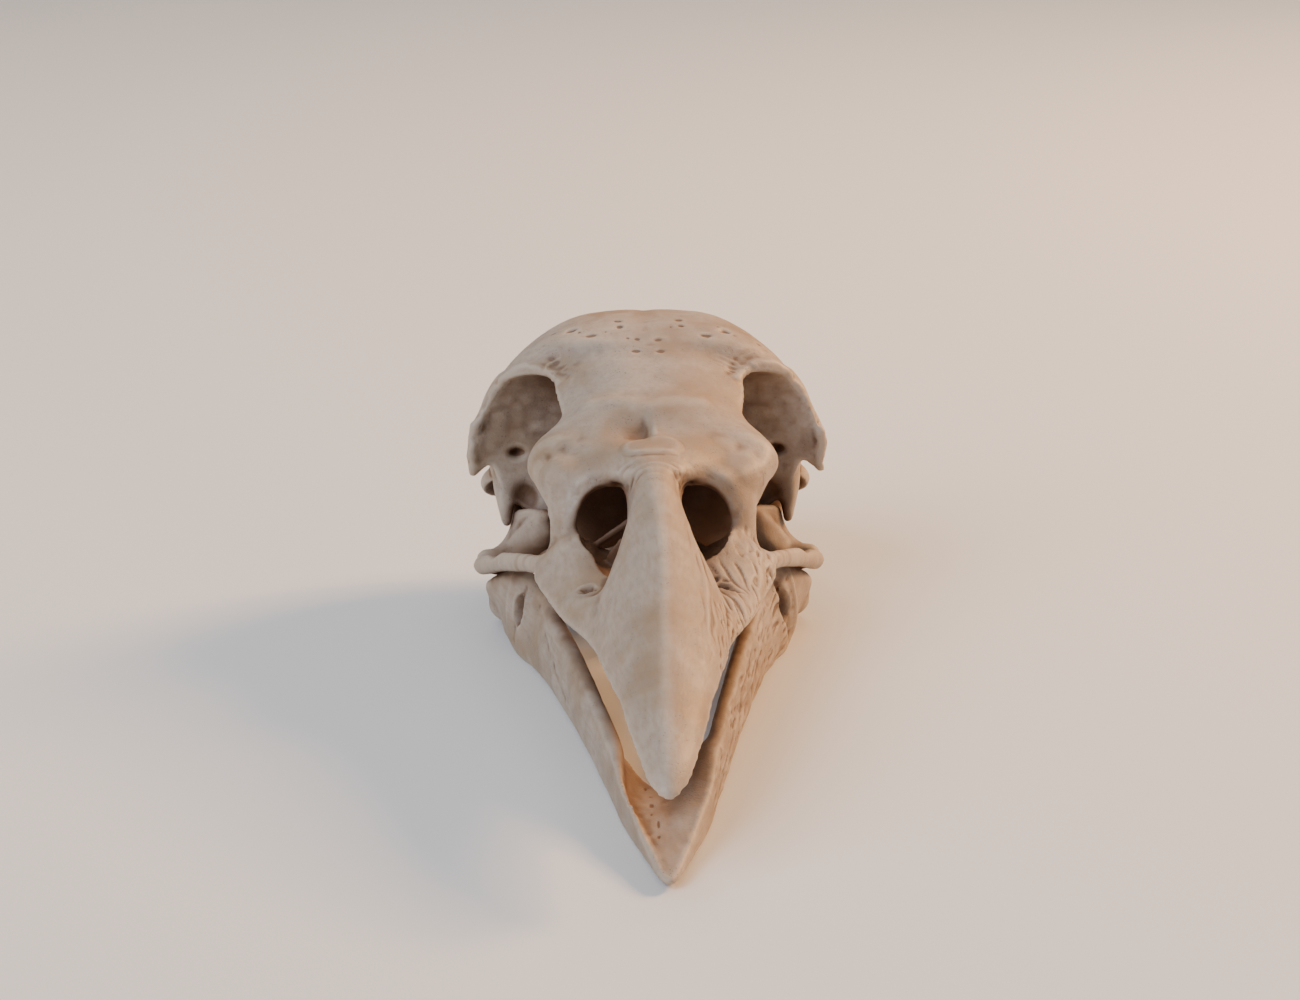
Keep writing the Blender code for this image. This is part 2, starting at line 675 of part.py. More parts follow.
def make_quadrate(name, side, frame):
    """Link between the braincase and the jaw."""
    bm = bmesh.new()
    add_column(bm, side, [
        (17.3, 11.3, 10.1, 1.3, 1.0, 0),
        (17.1, 11.0, 9.0, 1.9, 1.5, 0),
        (16.6, 9.8, 7.8, 2.2, 1.6, 0),
        (16.0, 7.2, 6.0, 2.1, 1.5, 0),
        (16.2, 4.4, 4.2, 2.9, 1.9, 0),
        (17.9, 2.5, 2.6, 3.8, 2.0, 0),
        (18.2, 1.8, 1.5, 3.6, 1.8, 0),
        (18.0, 1.8, 0.5, 2.8, 1.3, 0),
    ])
    add_ellipsoid(bm, (side * 20.5, 2.2, 2.7), (2.0, 1.3, 1.1))
    add_column(bm, side, [
        (12.9, -1.2, 9.0, 0.6, 0.5, 0),
        (13.5, -0.6, 7.2, 1.2, 0.6, 12),
        (14.2, 0.0, 5.4, 2.0, 0.7, 14),
        (15.2, 0.8, 3.6, 2.6, 0.9, 14),
        (16.4, 1.2, 2.4, 2.6, 1.0, 14),
    ])
    add_column(bm, side, [
        (17.0, 2.9, 2.8, 2.6, 1.2, 60),
        (16.4, 2.9, 4.4, 3.2, 0.9, 60),
        (15.9, 2.7, 6.2, 3.8, 0.7, 59),
        (15.3, 2.2, 8.1, 4.1, 0.6, 58),
        (13.9, -0.1, 9.3, 2.8, 0.55, 58),
        (13.0, -1.5, 10.1, 1.0, 0.5, 58),
    ])
    quadrate = bone(name, bm, frame, rounding=2)
    thin_out(quadrate, TRIANGLES["quadrate"])
    return quadrate


def make_jugal(name, side, frame):
    """The jugal rod behind its root."""
    bm = bmesh.new()
    add_jugal_rod(bm, side)
    jugal = bone(name, bm, frame, rounding=1)
    thin_out(jugal, TRIANGLES["jugal"])
    cut(jugal, block(name + "_root", frame, (-30, -60, -10), (30, JUGAL_ROOT + GAP / 2, 45)))
    return jugal


def make_pterygoid(name, side, frame):
    """Short rod from the quadrate to the palate."""
    bm = bmesh.new()
    add_tube(bm, mirrored([(13.6, -0.8, 2.4, 1.1, 1.2), (12.0, -2.6, 3.2, 0.8, 1.7),
                           (9.8, -4.4, 4.0, 0.75, 1.7), (7.4, -6.5, 4.7, 0.8, 1.2),
                           (5.2, -8.4, 5.2, 1.0, 1.05)], side))
    pterygoid = bone(name, bm, frame, rounding=1)
    thin_out(pterygoid, TRIANGLES["pterygoid"])
    return pterygoid


def make_palatine(name, side, frame):
    """Long plate of the palate, broad at the back."""
    bm = bmesh.new()
    add_tube(bm, mirrored([(4.2, -9.4, 5.5, 1.6, 0.8), (5.2, -13.0, 5.4, 3.2, 0.75),
                           (5.6, -17.0, 6.0, 2.4, 0.75), (5.4, -22.0, 7.2, 1.4, 0.75),
                           (5.2, -25.5, 8.0, 1.4, 0.75)], side))
    palatine = bone(name, bm, frame, rounding=1)
    thin_out(palatine, TRIANGLES["palatine"])
    return palatine


# ---------------------------------------------------------------- assembly

def clear_scene():
    for obj in list(bpy.data.objects):
        bpy.data.objects.remove(obj)


def main():
    clear_scene()
    frame = bpy.data.objects.new("jaw_joint", None)
    frame.location = point(0, JOINT_BACK, JOINT_HEIGHT)
    bpy.context.scene.collection.objects.link(frame)
    make_cranium(frame)
    make_upper_bill(frame)
    make_mandible(frame)
    for side, word in ((-1, "left"), (1, "right")):
        make_quadrate("quadrate_" + word, side, frame)
        make_jugal("jugal_" + word, side, frame)
        make_pterygoid("pterygoid_" + word, side, frame)
        make_palatine("palatine_" + word, side, frame)


main()
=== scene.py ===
"""A raven's skull with its beak ajar, as dry bones on a pale table.

Laid out as a Blender add-on and run as a script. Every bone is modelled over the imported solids, in their
frame: blanks are lofted and swelled from primitives, merged by a voxel remesh, carved with rounded hollows,
sculpted with small moves of their points, and parted where the real bones meet. Unless said otherwise sizes
are millimetres from the jaw joint: x to the right as seen from the bill, y towards the back, z up.
"""

import math
from types import SimpleNamespace

import bpy
import numpy as np
from bpy.props import FloatProperty, FloatVectorProperty, PointerProperty
from mathutils import Euler, Matrix, Vector
from mathutils.bvhtree import BVHTree


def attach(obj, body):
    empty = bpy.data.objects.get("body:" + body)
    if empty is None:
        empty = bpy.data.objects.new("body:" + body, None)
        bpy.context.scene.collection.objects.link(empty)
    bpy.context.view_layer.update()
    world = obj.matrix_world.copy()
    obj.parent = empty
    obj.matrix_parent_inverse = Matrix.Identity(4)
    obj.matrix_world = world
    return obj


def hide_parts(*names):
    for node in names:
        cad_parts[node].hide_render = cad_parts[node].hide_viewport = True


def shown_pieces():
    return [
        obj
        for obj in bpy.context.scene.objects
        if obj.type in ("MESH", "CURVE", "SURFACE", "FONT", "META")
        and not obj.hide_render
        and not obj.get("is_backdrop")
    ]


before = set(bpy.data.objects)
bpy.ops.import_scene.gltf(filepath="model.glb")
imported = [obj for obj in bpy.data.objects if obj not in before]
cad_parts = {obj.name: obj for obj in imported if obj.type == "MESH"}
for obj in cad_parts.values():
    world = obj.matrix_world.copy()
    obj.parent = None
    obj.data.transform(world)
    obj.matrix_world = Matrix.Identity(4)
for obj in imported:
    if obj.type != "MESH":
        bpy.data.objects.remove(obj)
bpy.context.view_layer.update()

bl_info = {
    "name": "Raven skull",
    "version": (1, 0, 0),
    "blender": (4, 5, 0),
    "location": "3D View > Sidebar > Skull",
    "description": "Models the dry bones of a raven's skull and a plain stage for them",
    "category": "Add Mesh",
}

MM = 0.001                      # metres in a millimetre
SIDES = {-1: "left", 1: "right"}    # by their sign of x
MIDDLE = 1                      # the sign for a piece that isn't mirrored

# What is uneven in the whole skull, in millimetres: the tips of bill and jaw bend to the left, more and
# more from a place onwards, and the bill's ridge bows to the right, most at a place.
TIP_LEAN = 0.5
LEAN_START = -50.0
LEAN_LENGTH = 30.0
RIDGE_BOW = 0.5
BOW_MIDDLE = -43.0
BOW_LENGTH = 11.0

UPRIGHT = 0.2                   # sine of the angle to z, under which a tube's path counts as upright
FADE = 3.0                      # a swelling fades as exp(-FADE) at its radii
MOST_TRIANGLES = 190000         # in one bone: past 200,000 its exported mesh would be thinned
SMOOTH_ANGLE = 60               # degrees between faces, over which an edge stays sharp

# How enclosed a point is: rays over a ball, their reach in metres, their start above the surface in
# millimetres, the least cosine to its normal, and one point in so many is tested.
RAYS = 26
REACH = 0.016
RAY_START = 0.15
RAY_COSINE = 0.15
SAMPLE_STEP = 7
# How often that, and the surface under a pit, is evened out, and the height from a pit to a worn edge.
SHADE_ROUNDS = 14
SURFACE_ROUNDS = 8
RELIEF_RANGE = 0.14
SAW_WIDTH = 0.6                 # millimetres on both sides of a saw cut that count as neither

# Sizes of the bone's patterns in millimetres. Real pores, under 0.1 mm wide, are drawn coarser, to show.
PATCH = 9.0
MOTTLE = 2.2
STREAK = 0.55
PORE = 0.42
GRAIN = 0.3
BUMP = 0.08
# How long the fibres are beside their width along x, y and z, and how much they show.
PLAIN_FIBRES = (1.0, 1.0, 1.0), 0.3
JUGAL_FIBRES = (1.0, 5.0, 1.0), 0.5
BILL_FIBRES = (1.0, 7.0, 1.0), 0.5
JAW_FIBRES = (1.6, 6.0, 1.0), 0.55

# The stage: name, place and width in metres, power in watts and colour of each lamp, the sky's colour and
# strength, and what the camera looks at, in millimetres from the jaw joint.
LAMPS = (
    ("window", (-0.70, -0.58, 0.75), 0.75, 13.0, "e4edff"),
    ("low_sun", (0.62, 0.30, 0.42), 0.22, 11.0, "ffc78e"),
    ("ceiling", (0.0, 0.6, 1.4), 1.20, 10.0, "fff6ec"),
)
LAMP_AIM = (0.0, 0.0, 0.02)
SKY_COLOUR = "e4e6ea"
SKY_STRENGTH = 0.26
CAMERA_AIM = (-0.4, -20.0, 17.0)
NEAREST_SEEN = 0.01
TABLE_WIDTH = 12.0


def from_hex(text):
    """Linear colour with alpha from an sRGB hex value such as c8b8a4."""
    levels = [int(text[i:i + 2], 16) / 255 for i in (0, 2, 4)]
    return tuple(v / 12.92 if v <= 0.04045 else ((v + 0.055) / 1.055) ** 2.4 for v in levels) + (1.0,)


# ------ what a user would change

def length(name, description, millimetres):
    """A length property, given in millimetres and held in metres."""
    return FloatProperty(name=name, description=description, default=millimetres * MM, unit='LENGTH',
                         precision=5)


def tilt(name, description, degrees):
    """An angle property, given in degrees."""
    return FloatProperty(name=name, description=description, default=math.radians(degrees), subtype='ANGLE')


def colour_choice(name, description, sheet_colour):
    """A colour property with an sRGB hex value as its default."""
    return FloatVectorProperty(name=name, description=description, subtype='COLOR', size=4,
                               default=from_hex(sheet_colour))


class SkullSizes(bpy.types.PropertyGroup):
    """The skull's main lengths, from the jaw joint where their descriptions don't say otherwise."""
    joint_height: length("Joint height", "Jaw joint above the table", 6.0)
    joint_back: length("Joint set-back", "Jaw joint behind the middle of the skull's length", 25.3)
    occiput: length("Occiput", "Rearmost point of the braincase", 29.6)
    hinge: length("Bend line", "Where the bill's root bends on the forehead", -17.4)
    jugal_root: length("Jugal root", "Where the jugal rods leave the bill", -20.6)
    bill_tip: length("Bill tip", "Foremost point of the upper bill", -80.1)
    jaw_tip: length("Jaw tip", "Foremost point of the lower jaw", -80.3)
    vault_top: length("Vault top", "Top of the braincase", 32.9)
    vault_width: length("Vault half width", "Half the width of the braincase", 21.4)
    postorbital_width: length("Hook half width", "Half the width across the hooks behind the eyes", 23.3)
    waist: length("Waist", "Half the width of the forehead between the eyes", 11.1)
    brow: length("Brow", "Half the width of the forehead's front lobes", 15.5)
    blending: length("Blending voxel", "Edge of a voxel where shells are blended", 0.4)
    detail: length("Detail voxel", "Edge of a voxel where fine relief is sculpted", 0.22)


class BoneLook(bpy.types.PropertyGroup):
    """Colours of dry bone, and of the shade painted into its hollows and pits."""
    pale: colour_choice("Pale bone", "Clean outer bone", "aa9886")
    warm: colour_choice("Warm bone", "Bone that kept some fat", "967b5f")
    grey: colour_choice("Grey bone", "Weathered bone", "8f867d")
    chalk: colour_choice("Chalky bone", "Worn edges", "c2b29e")
    # deep is the pores' own colour, and also paints shade into hollows, pits and grooves
    deep: colour_choice("Deep bone", "Stained bone in hollows and pits", "5a381c")


class StageLook(bpy.types.PropertyGroup):
    """The table, the lamps and the camera."""
    table: colour_choice("Table", "Colour of the table", "dedcd8")
    camera_distance: FloatProperty(name="Camera distance", description="Camera to the point it looks at",
                                   default=0.314, unit='LENGTH')
    camera_height: tilt("Camera elevation", "Angle that the camera looks down by", 17.3)
    camera_side: tilt("Camera side", "Angle that the camera stands to the left by", 1.7)
    camera_roll: tilt("Camera roll", "Angle that the camera leans by", -0.43)
    lens: FloatProperty(name="Lens", description="Focal length of the camera, in millimetres", default=72.0)


def lengths(context):
    """The skull's lengths in millimetres, by name."""
    sizes = context.scene.skull_sizes
    return SimpleNamespace(**{name: getattr(sizes, name) / MM for name in SkullSizes.__annotations__})


# ------ modelling helpers

def select_only(*objects):
    """Select these objects and make the last one active."""
    bpy.ops.object.select_all(action='DESELECT')
    for obj in objects:
        obj.select_set(True)
    bpy.context.view_layer.objects.active = objects[-1]


def add(primitive, **settings):
    """A new object, and nothing else selected."""
    bpy.ops.object.select_all(action='DESELECT')
    primitive(**settings)
    return bpy.context.object


def finish_with(obj, kind, **settings):
    """Add a modifier with its settings and apply it."""
    change = obj.modifiers.new(kind.lower(), kind)
    for name, value in settings.items():
        setattr(change, name, value)
    select_only(obj)
    bpy.ops.object.modifier_apply(modifier=change.name)


def through(stations, steps=10):
    """A smooth table of rows through the given stations: a Catmull-Rom curve, column by column."""
    rows = np.array(stations, dtype=float)
    padded = np.vstack([2 * rows[0] - rows[1], rows, 2 * rows[-1] - rows[-2]])
    table = []
    for i in range(1, len(padded) - 2):
        a, b, c, d = padded[i - 1:i + 3]
        for t in np.arange(steps) / steps:
            table.append(0.5 * (2 * b + (c - a) * t + (2 * a - 5 * b + 4 * c - d) * t ** 2
                                + (3 * b - a - 3 * c + d) * t ** 3))
    table.append(padded[-2])
    return np.array(table)


def power(value, exponent):
    """A signed power, for rounded-square outlines."""
    return np.copysign(np.abs(value) ** exponent, value)


def turns(count):
    """Evenly spaced angles once round a circle."""
    return 2 * math.pi * np.arange(count) / count


def write_points(obj, points):
    """Give a mesh its points, in millimetres."""
    obj.data.vertices.foreach_set("co", (np.asarray(points) * MM).ravel())
    obj.data.update()


def lean(y):
    """Bend of the middle line to the right at y: below zero towards the tips, which bend to the left."""
    return -TIP_LEAN * np.clip((LEAN_START - y) / LEAN_LENGTH, 0, 1) ** 2


def ring(x, y, z):
    """Points from their x, y and z, each a row of numbers or one number for all."""
    return np.stack(np.broadcast_arrays(x, y, z), axis=1)


def add_loft(rings):
    """Closed body through rings of points: a disc that is extruded once for each ring."""
    rings = np.array(rings, dtype=float)
    rings[..., 0] += lean(rings[..., 1])
    obj = add(bpy.ops.mesh.primitive_circle_add, vertices=rings.shape[1], radius=MM, fill_type='NGON')
    bpy.ops.object.mode_set(mode='EDIT')
    for _ in rings[1:]:
        bpy.ops.mesh.extrude_region_move(TRANSFORM_OT_translate={"value": (0, 0, MM)})
    bpy.ops.object.mode_set(mode='OBJECT')
    write_points(obj, rings.reshape(-1, 3))
    return obj


def add_sections(section, stations):
    """Closed body through the rings that a section makes of the rows of a table."""
    return add_loft([section(*row) for row in through(stations)])


def add_ellipsoid(centre, radii, turn=(0.0, 0.0, 0.0)):
    """Ellipsoid turned by degrees about x, y and z."""
    obj = add(bpy.ops.mesh.primitive_uv_sphere_add, segments=64, ring_count=40, radius=MM, scale=radii,
              location=Vector(centre) * MM, rotation=[math.radians(a) for a in turn])
    bpy.ops.object.transform_apply()
    return obj


def add_tube(side, stations, facets=24):
    """Tube through stations (x, y, z, half width, half height), square to its path at each ring."""
    table = through(stations)
    centres = table[:, :3] * (side, 1, 1)
    angle = turns(facets)[:, None]
    rings = []
    for i, row in enumerate(table):
        ahead = Vector(centres[min(i + 1, len(centres) - 1)] - centres[max(i - 1, 0)]).normalized()
        across = ahead.cross(Vector((0.0, 0.0, 1.0)))
        if across.length < UPRIGHT:
            across = ahead.cross(Vector((0.0, 1.0, 0.0)))
        across.normalize()
        rise = across.cross(ahead)
        rings.append(centres[i] + row[3] * np.cos(angle) * np.array(across)
                     + row[4] * np.sin(angle) * np.array(rise))
    return add_loft(rings)


def add_column(side, stations):
    """Upright body with level oval rings (x, y, z, long half axis, short half axis, its turn in degrees)."""
    angle = turns(24)

    def section(x, y, z, long, short, turn):
        c, s = math.cos(math.radians(turn)), math.sin(math.radians(turn))
        u, v = long * np.cos(angle), short * np.sin(angle)
        return ring(side * (x + u * c - v * s), y + u * s + v * c, z)

    return add_sections(section, stations)


def merge(name, shells, voxel, rounding):
    """Join shells, turn them into one surface with voxels of the given size, and round it off."""
    select_only(*shells)
    if len(shells) > 1:
        bpy.ops.object.join()
    obj = bpy.context.object
    obj.name = obj.data.name = name
    bpy.ops.object.mode_set(mode='EDIT')
    bpy.ops.mesh.select_all(action='SELECT')
    bpy.ops.mesh.normals_make_consistent(inside=False)
    bpy.ops.object.mode_set(mode='OBJECT')
    finish_with(obj, 'REMESH', mode='VOXEL', voxel_size=voxel * MM)
    finish_with(obj, 'SMOOTH', iterations=rounding)
    return obj


def carve(obj, tool, operation='DIFFERENCE'):
    """Take a tool's shape away from a bone, or keep only what it holds."""
    finish_with(obj, 'BOOLEAN', operation=operation, solver='MANIFOLD', object=tool)
    bpy.data.objects.remove(tool)


def add_block(low, high):
    """Box between two corners."""
    low, high = Vector(low) * MM, Vector(high) * MM
    obj = add(bpy.ops.mesh.primitive_cube_add, size=1.0, location=(low + high) / 2, scale=high - low)
    bpy.ops.object.transform_apply()
    return obj


def soften(obj, places, rounds, sides=tuple(SIDES)):
    """Even out a bone round the given places (centre, radii), on both sides or one."""
    clay = Clay(obj)
    share = np.zeros(len(clay.points))
    for centre, radii in places:
        for clay.side in sides:
            share = np.maximum(share, 1 - smooth_step(clay.distance(centre, radii), 0.55, 1.0))
    group = obj.vertex_groups.new(name="soft")
    for i in np.flatnonzero(share > 0.01):
        group.add([int(i)], float(share[i]), 'REPLACE')
    finish_with(obj, 'SMOOTH', vertex_group=group.name, iterations=rounds)
    obj.vertex_groups.clear()


def part_off(obj, name, low, high):
    """Saw a block out of a body: returns what the block held, and leaves the rest."""
    select_only(obj)
    bpy.ops.object.duplicate()
    piece = bpy.context.object
    piece.name = piece.data.name = name
    carve(piece, add_block(low, high), 'INTERSECT')
    carve(obj, add_block(low, high))
    return piece


# ------ sculpting

def hashed(cells, seed):
    """An even spread of numbers from 0 to 1, one for each whole-number cell."""
    mixed = (cells[..., 0] * 73856093) ^ (cells[..., 1] * 19349663) ^ (cells[..., 2] * 83492791)
    mixed = (mixed ^ (seed * 2654435761)) & 0xFFFFFFFF
    mixed = ((mixed ^ (mixed >> 15)) * 2246822519) & 0xFFFFFFFF
    mixed = ((mixed ^ (mixed >> 13)) * 3266489917) & 0xFFFFFFFF
    return ((mixed ^ (mixed >> 16)) & 0xFFFFFF) / 0xFFFFFF


def noise(points, size, seed):
    """Smooth noise from -1 to 1 with swells about as wide as the size, a number or one for each axis."""
    scaled = points / size
    cell = np.floor(scaled).astype(np.int64)
    blend = scaled - cell
    blend = blend * blend * (3 - 2 * blend)
    total = np.zeros(len(points))
    for corner in np.ndindex(2, 2, 2):
        weight = np.prod(np.where(corner, blend, 1 - blend), axis=1)
        total += weight * hashed(cell + np.array(corner), seed)
    return 2 * total - 1


def smooth_step(values, low, high):
    """0 below low, 1 above high, and a smooth change between."""
    t = np.clip((values - low) / (high - low), 0, 1)
    return t * t * (3 - 2 * t)


class Clay:
    """A bone's points and normals in millimetres, for a modeller's small moves along the normals.

    Places are given for the right side, and are mirrored while the side is -1."""

    def __init__(self, obj, side=1):
        self.obj = obj
        self.side = side
        self.points = self.read("co") / MM
        self.normals = self.read("normal")
        self.height = np.zeros(len(self.points))

    def read(self, name):
        """What the mesh says of its points, a row for each."""
        values = np.empty(len(self.obj.data.vertices) * 3)
        self.obj.data.vertices.foreach_get(name, values)
        return values.reshape(-1, 3)

    def both_sides(self):
        """The left side, then the right one, which stays."""
        for self.side in SIDES:
            yield self.side

    def settle(self):
        """Move the points by the heights gathered so far."""
        write_points(self.obj, self.points + self.normals * self.height[:, None])
        self.__init__(self.obj)

    def distance(self, centre, radii, turn=(0.0, 0.0, 0.0)):
        """How many radii every point is from a place."""
        angles = np.radians(turn) * (1, self.side, self.side)
        offset = (self.points - np.array(centre) * (self.side, 1, 1)) @ np.array(Euler(angles).to_matrix())
        return np.sqrt(((offset / np.array(radii)) ** 2).sum(axis=1))

    def near(self, centre, radii, turn=(0.0, 0.0, 0.0)):
        """1 at a place, fading to almost nothing at the radii."""
        return np.exp(-FADE * self.distance(centre, radii, turn) ** 2)

    def swell(self, centre, radii, height):
        """A soft swelling, or a soft dent where the height is negative."""
        self.height += height * self.near(centre, radii)

    def carry(self, centre, radii, move):
        """Carry the points near a place along by the given amounts."""
        self.points += self.near(centre, radii)[:, None] * np.array(move)

    def pit(self, centre, radii, depth, turn=(0.0, 0.0, 0.0)):
        """A pit with a flat floor and a soft, uneven edge."""
        reach, unevenness, edge, seed = 2.2, 0.35, 0.6, 17
        away = self.distance(centre, radii, turn)
        hit = np.flatnonzero(away < reach)
        away = away[hit] + unevenness * noise(self.points[hit], edge, seed)
        self.height[hit] -= depth * np.exp(-(np.maximum(away, 0) * 1.1) ** 3)

    def along(self, path, width):
        """1 on a line through places, fading to almost nothing at the width."""
        line = through(path, 6) * (self.side, 1, 1)
        close = np.flatnonzero(((self.points > line.min(axis=0) - width)
                                & (self.points < line.max(axis=0) + width)).all(axis=1))
        spots = self.points[close]
        nearest = np.full(len(spots), 1e9)
        for a, b in zip(line, line[1:]):
            span = b - a
            share = np.clip((spots - a) @ span / (span @ span), 0, 1)
            nearest = np.minimum(nearest, ((spots - a - share[:, None] * span) ** 2).sum(axis=1))
        mask = np.zeros(len(self.points))
        mask[close] = np.exp(-FADE * nearest / width ** 2)
        return mask

    def crease(self, path, width, height, raggedness=0.0, seed=0):
        """A ridge along a line, or a groove where the height is negative, rough by the given share."""
        mask = self.along(path, width)
        hit = mask > 0.01
        mask[hit] *= 1 + raggedness * noise(self.points[hit], 1.3, seed)
        self.height += height * mask

    def rake(self, where, grain, long, wide, depth, seed):
        """Fibrous grooves along a direction, broken and uneven, where the mask says so."""
        wander, patch = 3.2, 4.5    # millimetres over which grooves change their course and their depth
        hit = np.flatnonzero(where > 0.02)
        spots = self.points[hit]
        grain = np.array(grain) / np.linalg.norm(grain)
        spots = spots + 0.5 * wide * np.stack([noise(spots, wander, seed + k) for k in range(3)], axis=1)
        run = (spots @ grain)[:, None]
        swell = noise((spots - run * grain) / wide + run / long * grain, 1.0, seed + 5)
        patchy = 0.65 + 0.5 * noise(spots, patch, seed + 6)
        self.height[hit] -= depth * where[hit] * patchy * smooth_step(swell, -0.05, 0.55)

    def rough(self, size, height, seed):
        """An even, faint unevenness."""
        self.height += height * noise(self.points, size, seed)


# ------ cranium, bill and jugal rods

def add_vault(size):
    """Braincase: rounded-square sections from the rim of the eye sockets to the occiput."""
    angle = turns(96)

    def section(y, width, top, bottom, middle, square):
        above = np.sin(angle) > 0
        height = np.where(above, top - middle, middle - bottom)
        bend = np.where(above, 2 / square, 1.0)
        return ring(width * power(np.cos(angle), bend), y, middle + height * power(np.sin(angle), bend))

    # y, half width, top, bottom, height of the widest place, squareness
    return add_sections(section, [
        (2.0, 11.0, 30.8, 7.0, 17.0, 3.0),
        (3.4, 17.0, 31.4, 4.6, 16.5, 3.3),
        (5.2, 19.9, 31.9, 3.2, 16.0, 3.1),
        (8.0, 20.6, 32.6, 2.0, 15.5, 2.6),
        (11.0, size.vault_width, size.vault_top, 1.4, 15.0, 2.3),
        (15.0, size.vault_width - 0.6, 32.5, 1.3, 15.0, 2.2),
        (19.5, 18.9, 30.9, 2.4, 15.5, 2.1),
        (24.0, 15.0, 27.4, 5.6, 16.0, 2.0),
        (27.2, 10.2, 23.2, 9.4, 16.3, 2.0),
        (29.0, 5.2, 19.6, 13.2, 16.4, 2.0),
        (size.occiput, 1.2, 17.2, 15.8, 16.5, 2.0),
    ])


def add_forehead(size):
    """Frontal bones: an arched plate from the bill's root to the braincase, narrow between the eyes."""
    across = np.linspace(-1.0, 1.0, 41)

    def section(y, width, middle, edge, deep, thin):
        top = middle - (middle - edge) * np.abs(across) ** 2.2
        under = top - deep + (deep - thin) * np.abs(across)
        return np.vstack([ring(width * across, y, top), ring(width * 0.97 * across, y, under)[::-1]])

    # y, half width, height in the middle, height at the edge, thickness in the middle and at the edge
    return add_sections(section, [
        (-25.5, 2.4, 23.0, 22.2, 1.6, 1.2),
        (-22.8, 4.8, 23.5, 21.2, 2.4, 1.6),
        (-20.0, 8.4, 23.9, 20.3, 2.8, 2.0),
        (-17.5, 11.4, 24.3, 19.6, 3.2, 2.4),
        (-15.0, 13.6, 24.7, 19.8, 4.0, 2.8),
        (-12.4, size.brow - 0.6, 25.7, 20.8, 5.0, 3.0),
        (-10.2, 14.4, 26.7, 21.6, 5.0, 2.8),
        (-8.2, 12.2, 27.4, 23.0, 4.5, 2.2),
        (-6.0, size.waist, 28.1, 23.9, 4.5, 1.6),
        (-3.6, size.waist + 0.2, 29.0, 24.8, 4.5, 1.6),
        (-1.0, size.waist + 0.9, 29.9, 25.7, 4.5, 1.6),
        (1.4, size.waist + 1.7, 30.6, 26.5, 5.0, 1.6),
        (3.0, 16.0, 31.2, 26.8, 6.0, 2.0),
        (5.0, 18.9, 31.9, 26.2, 8.0, 3.0),
        (8.0, 19.4, 32.4, 25.4, 10.0, 5.0),
    ])


def add_partition():
    """The thin wall between the eyes, and the rod that it stands on."""
    def section(y, top, bottom, above, below):
        middle = (top + bottom) / 2
        return [(-above, y, top), (-below, y, middle), (-below, y, bottom),
                (below, y, bottom), (below, y, middle), (above, y, top)]

    # y, top, bottom, half thickness at the top, half thickness at the bottom
    wall = add_sections(section, [
        (-18.6, 22.6, 10.4, 1.6, 0.9),
        (-14.0, 23.4, 9.2, 2.4, 1.2),
        (-8.0, 25.4, 7.6, 2.0, 1.0),
        (-2.0, 27.4, 6.4, 2.2, 1.0),
        (4.0, 29.0, 5.0, 4.0, 3.0),
    ])
    rod = [(0, 8.0, 3.8, 4.5, 2.4), (0, 1.0, 5.4, 2.6, 1.8), (0, -7.0, 7.2, 1.5, 1.4),
           (0, -15.0, 9.2, 1.3, 1.2), (0, -22.0, 10.8, 0.9, 0.9)]
    return [wall, add_tube(MIDDLE, rod)]


def add_skull_side(size, side):
    """What stands out from one side of the braincase and in front of the eye."""
    hook = size.postorbital_width - 0.4
    brow_lobe = [add_ellipsoid((side * 9.0, -12.7, 19.4), (6.5, 3.0, 4.3)),
                 add_ellipsoid((side * 6.9, -13.0, 13.9), (6.0, 2.3, 5.4)),
                 add_column(side, [
                     (11.2, -15.4, 21.6, 2.6, 1.2, 55),
                     (12.0, -16.0, 20.4, 4.4, 1.8, 58),
                     (12.2, -16.6, 18.6, 4.5, 1.6, 60),
                     (11.8, -17.4, 16.8, 3.6, 1.3, 60),
                     (11.4, -18.8, 15.2, 2.0, 1.0, 60),
                 ])]
    rear_wall = add_column(side, [
        (14.6, 7.0, 26.2, 4.4, 2.6, 0),
        (16.4, 6.8, 24.0, 4.2, 2.5, 0),
        (18.0, 6.6, 21.4, 3.7, 2.4, 0),
        (19.6, 6.3, 18.5, 3.5, 2.1, 0),
        (20.5, 6.1, 16.2, 2.9, 1.7, 0),
        (21.7, 6.0, 14.6, 1.7, 1.1, 0),
        (hook, 5.9, 12.5, 0.5, 0.6, 0),
    ])
    zygomatic_spike = add_tube(side, [
        (18.0, 10.4, 15.0, 2.0, 2.2),
        (18.85, 8.2, 12.0, 1.55, 1.8),
        (18.65, 6.2, 9.4, 1.25, 1.4),
        (18.4, 4.6, 6.0, 0.65, 0.7),
    ])
    ear_wing = [add_ellipsoid((side * 18.9, 13.4, 9.4), (3.2, 2.8, 2.4)),
                add_ellipsoid((side * 15.0, 15.2, 6.8), (3.8, 3.4, 4.2), (0, 0, side * 15)),
                add_ellipsoid((side * 11.5, 15.0, 5.6), (6.0, 4.2, 4.2))]
    return brow_lobe + [rear_wall, zygomatic_spike] + ear_wing


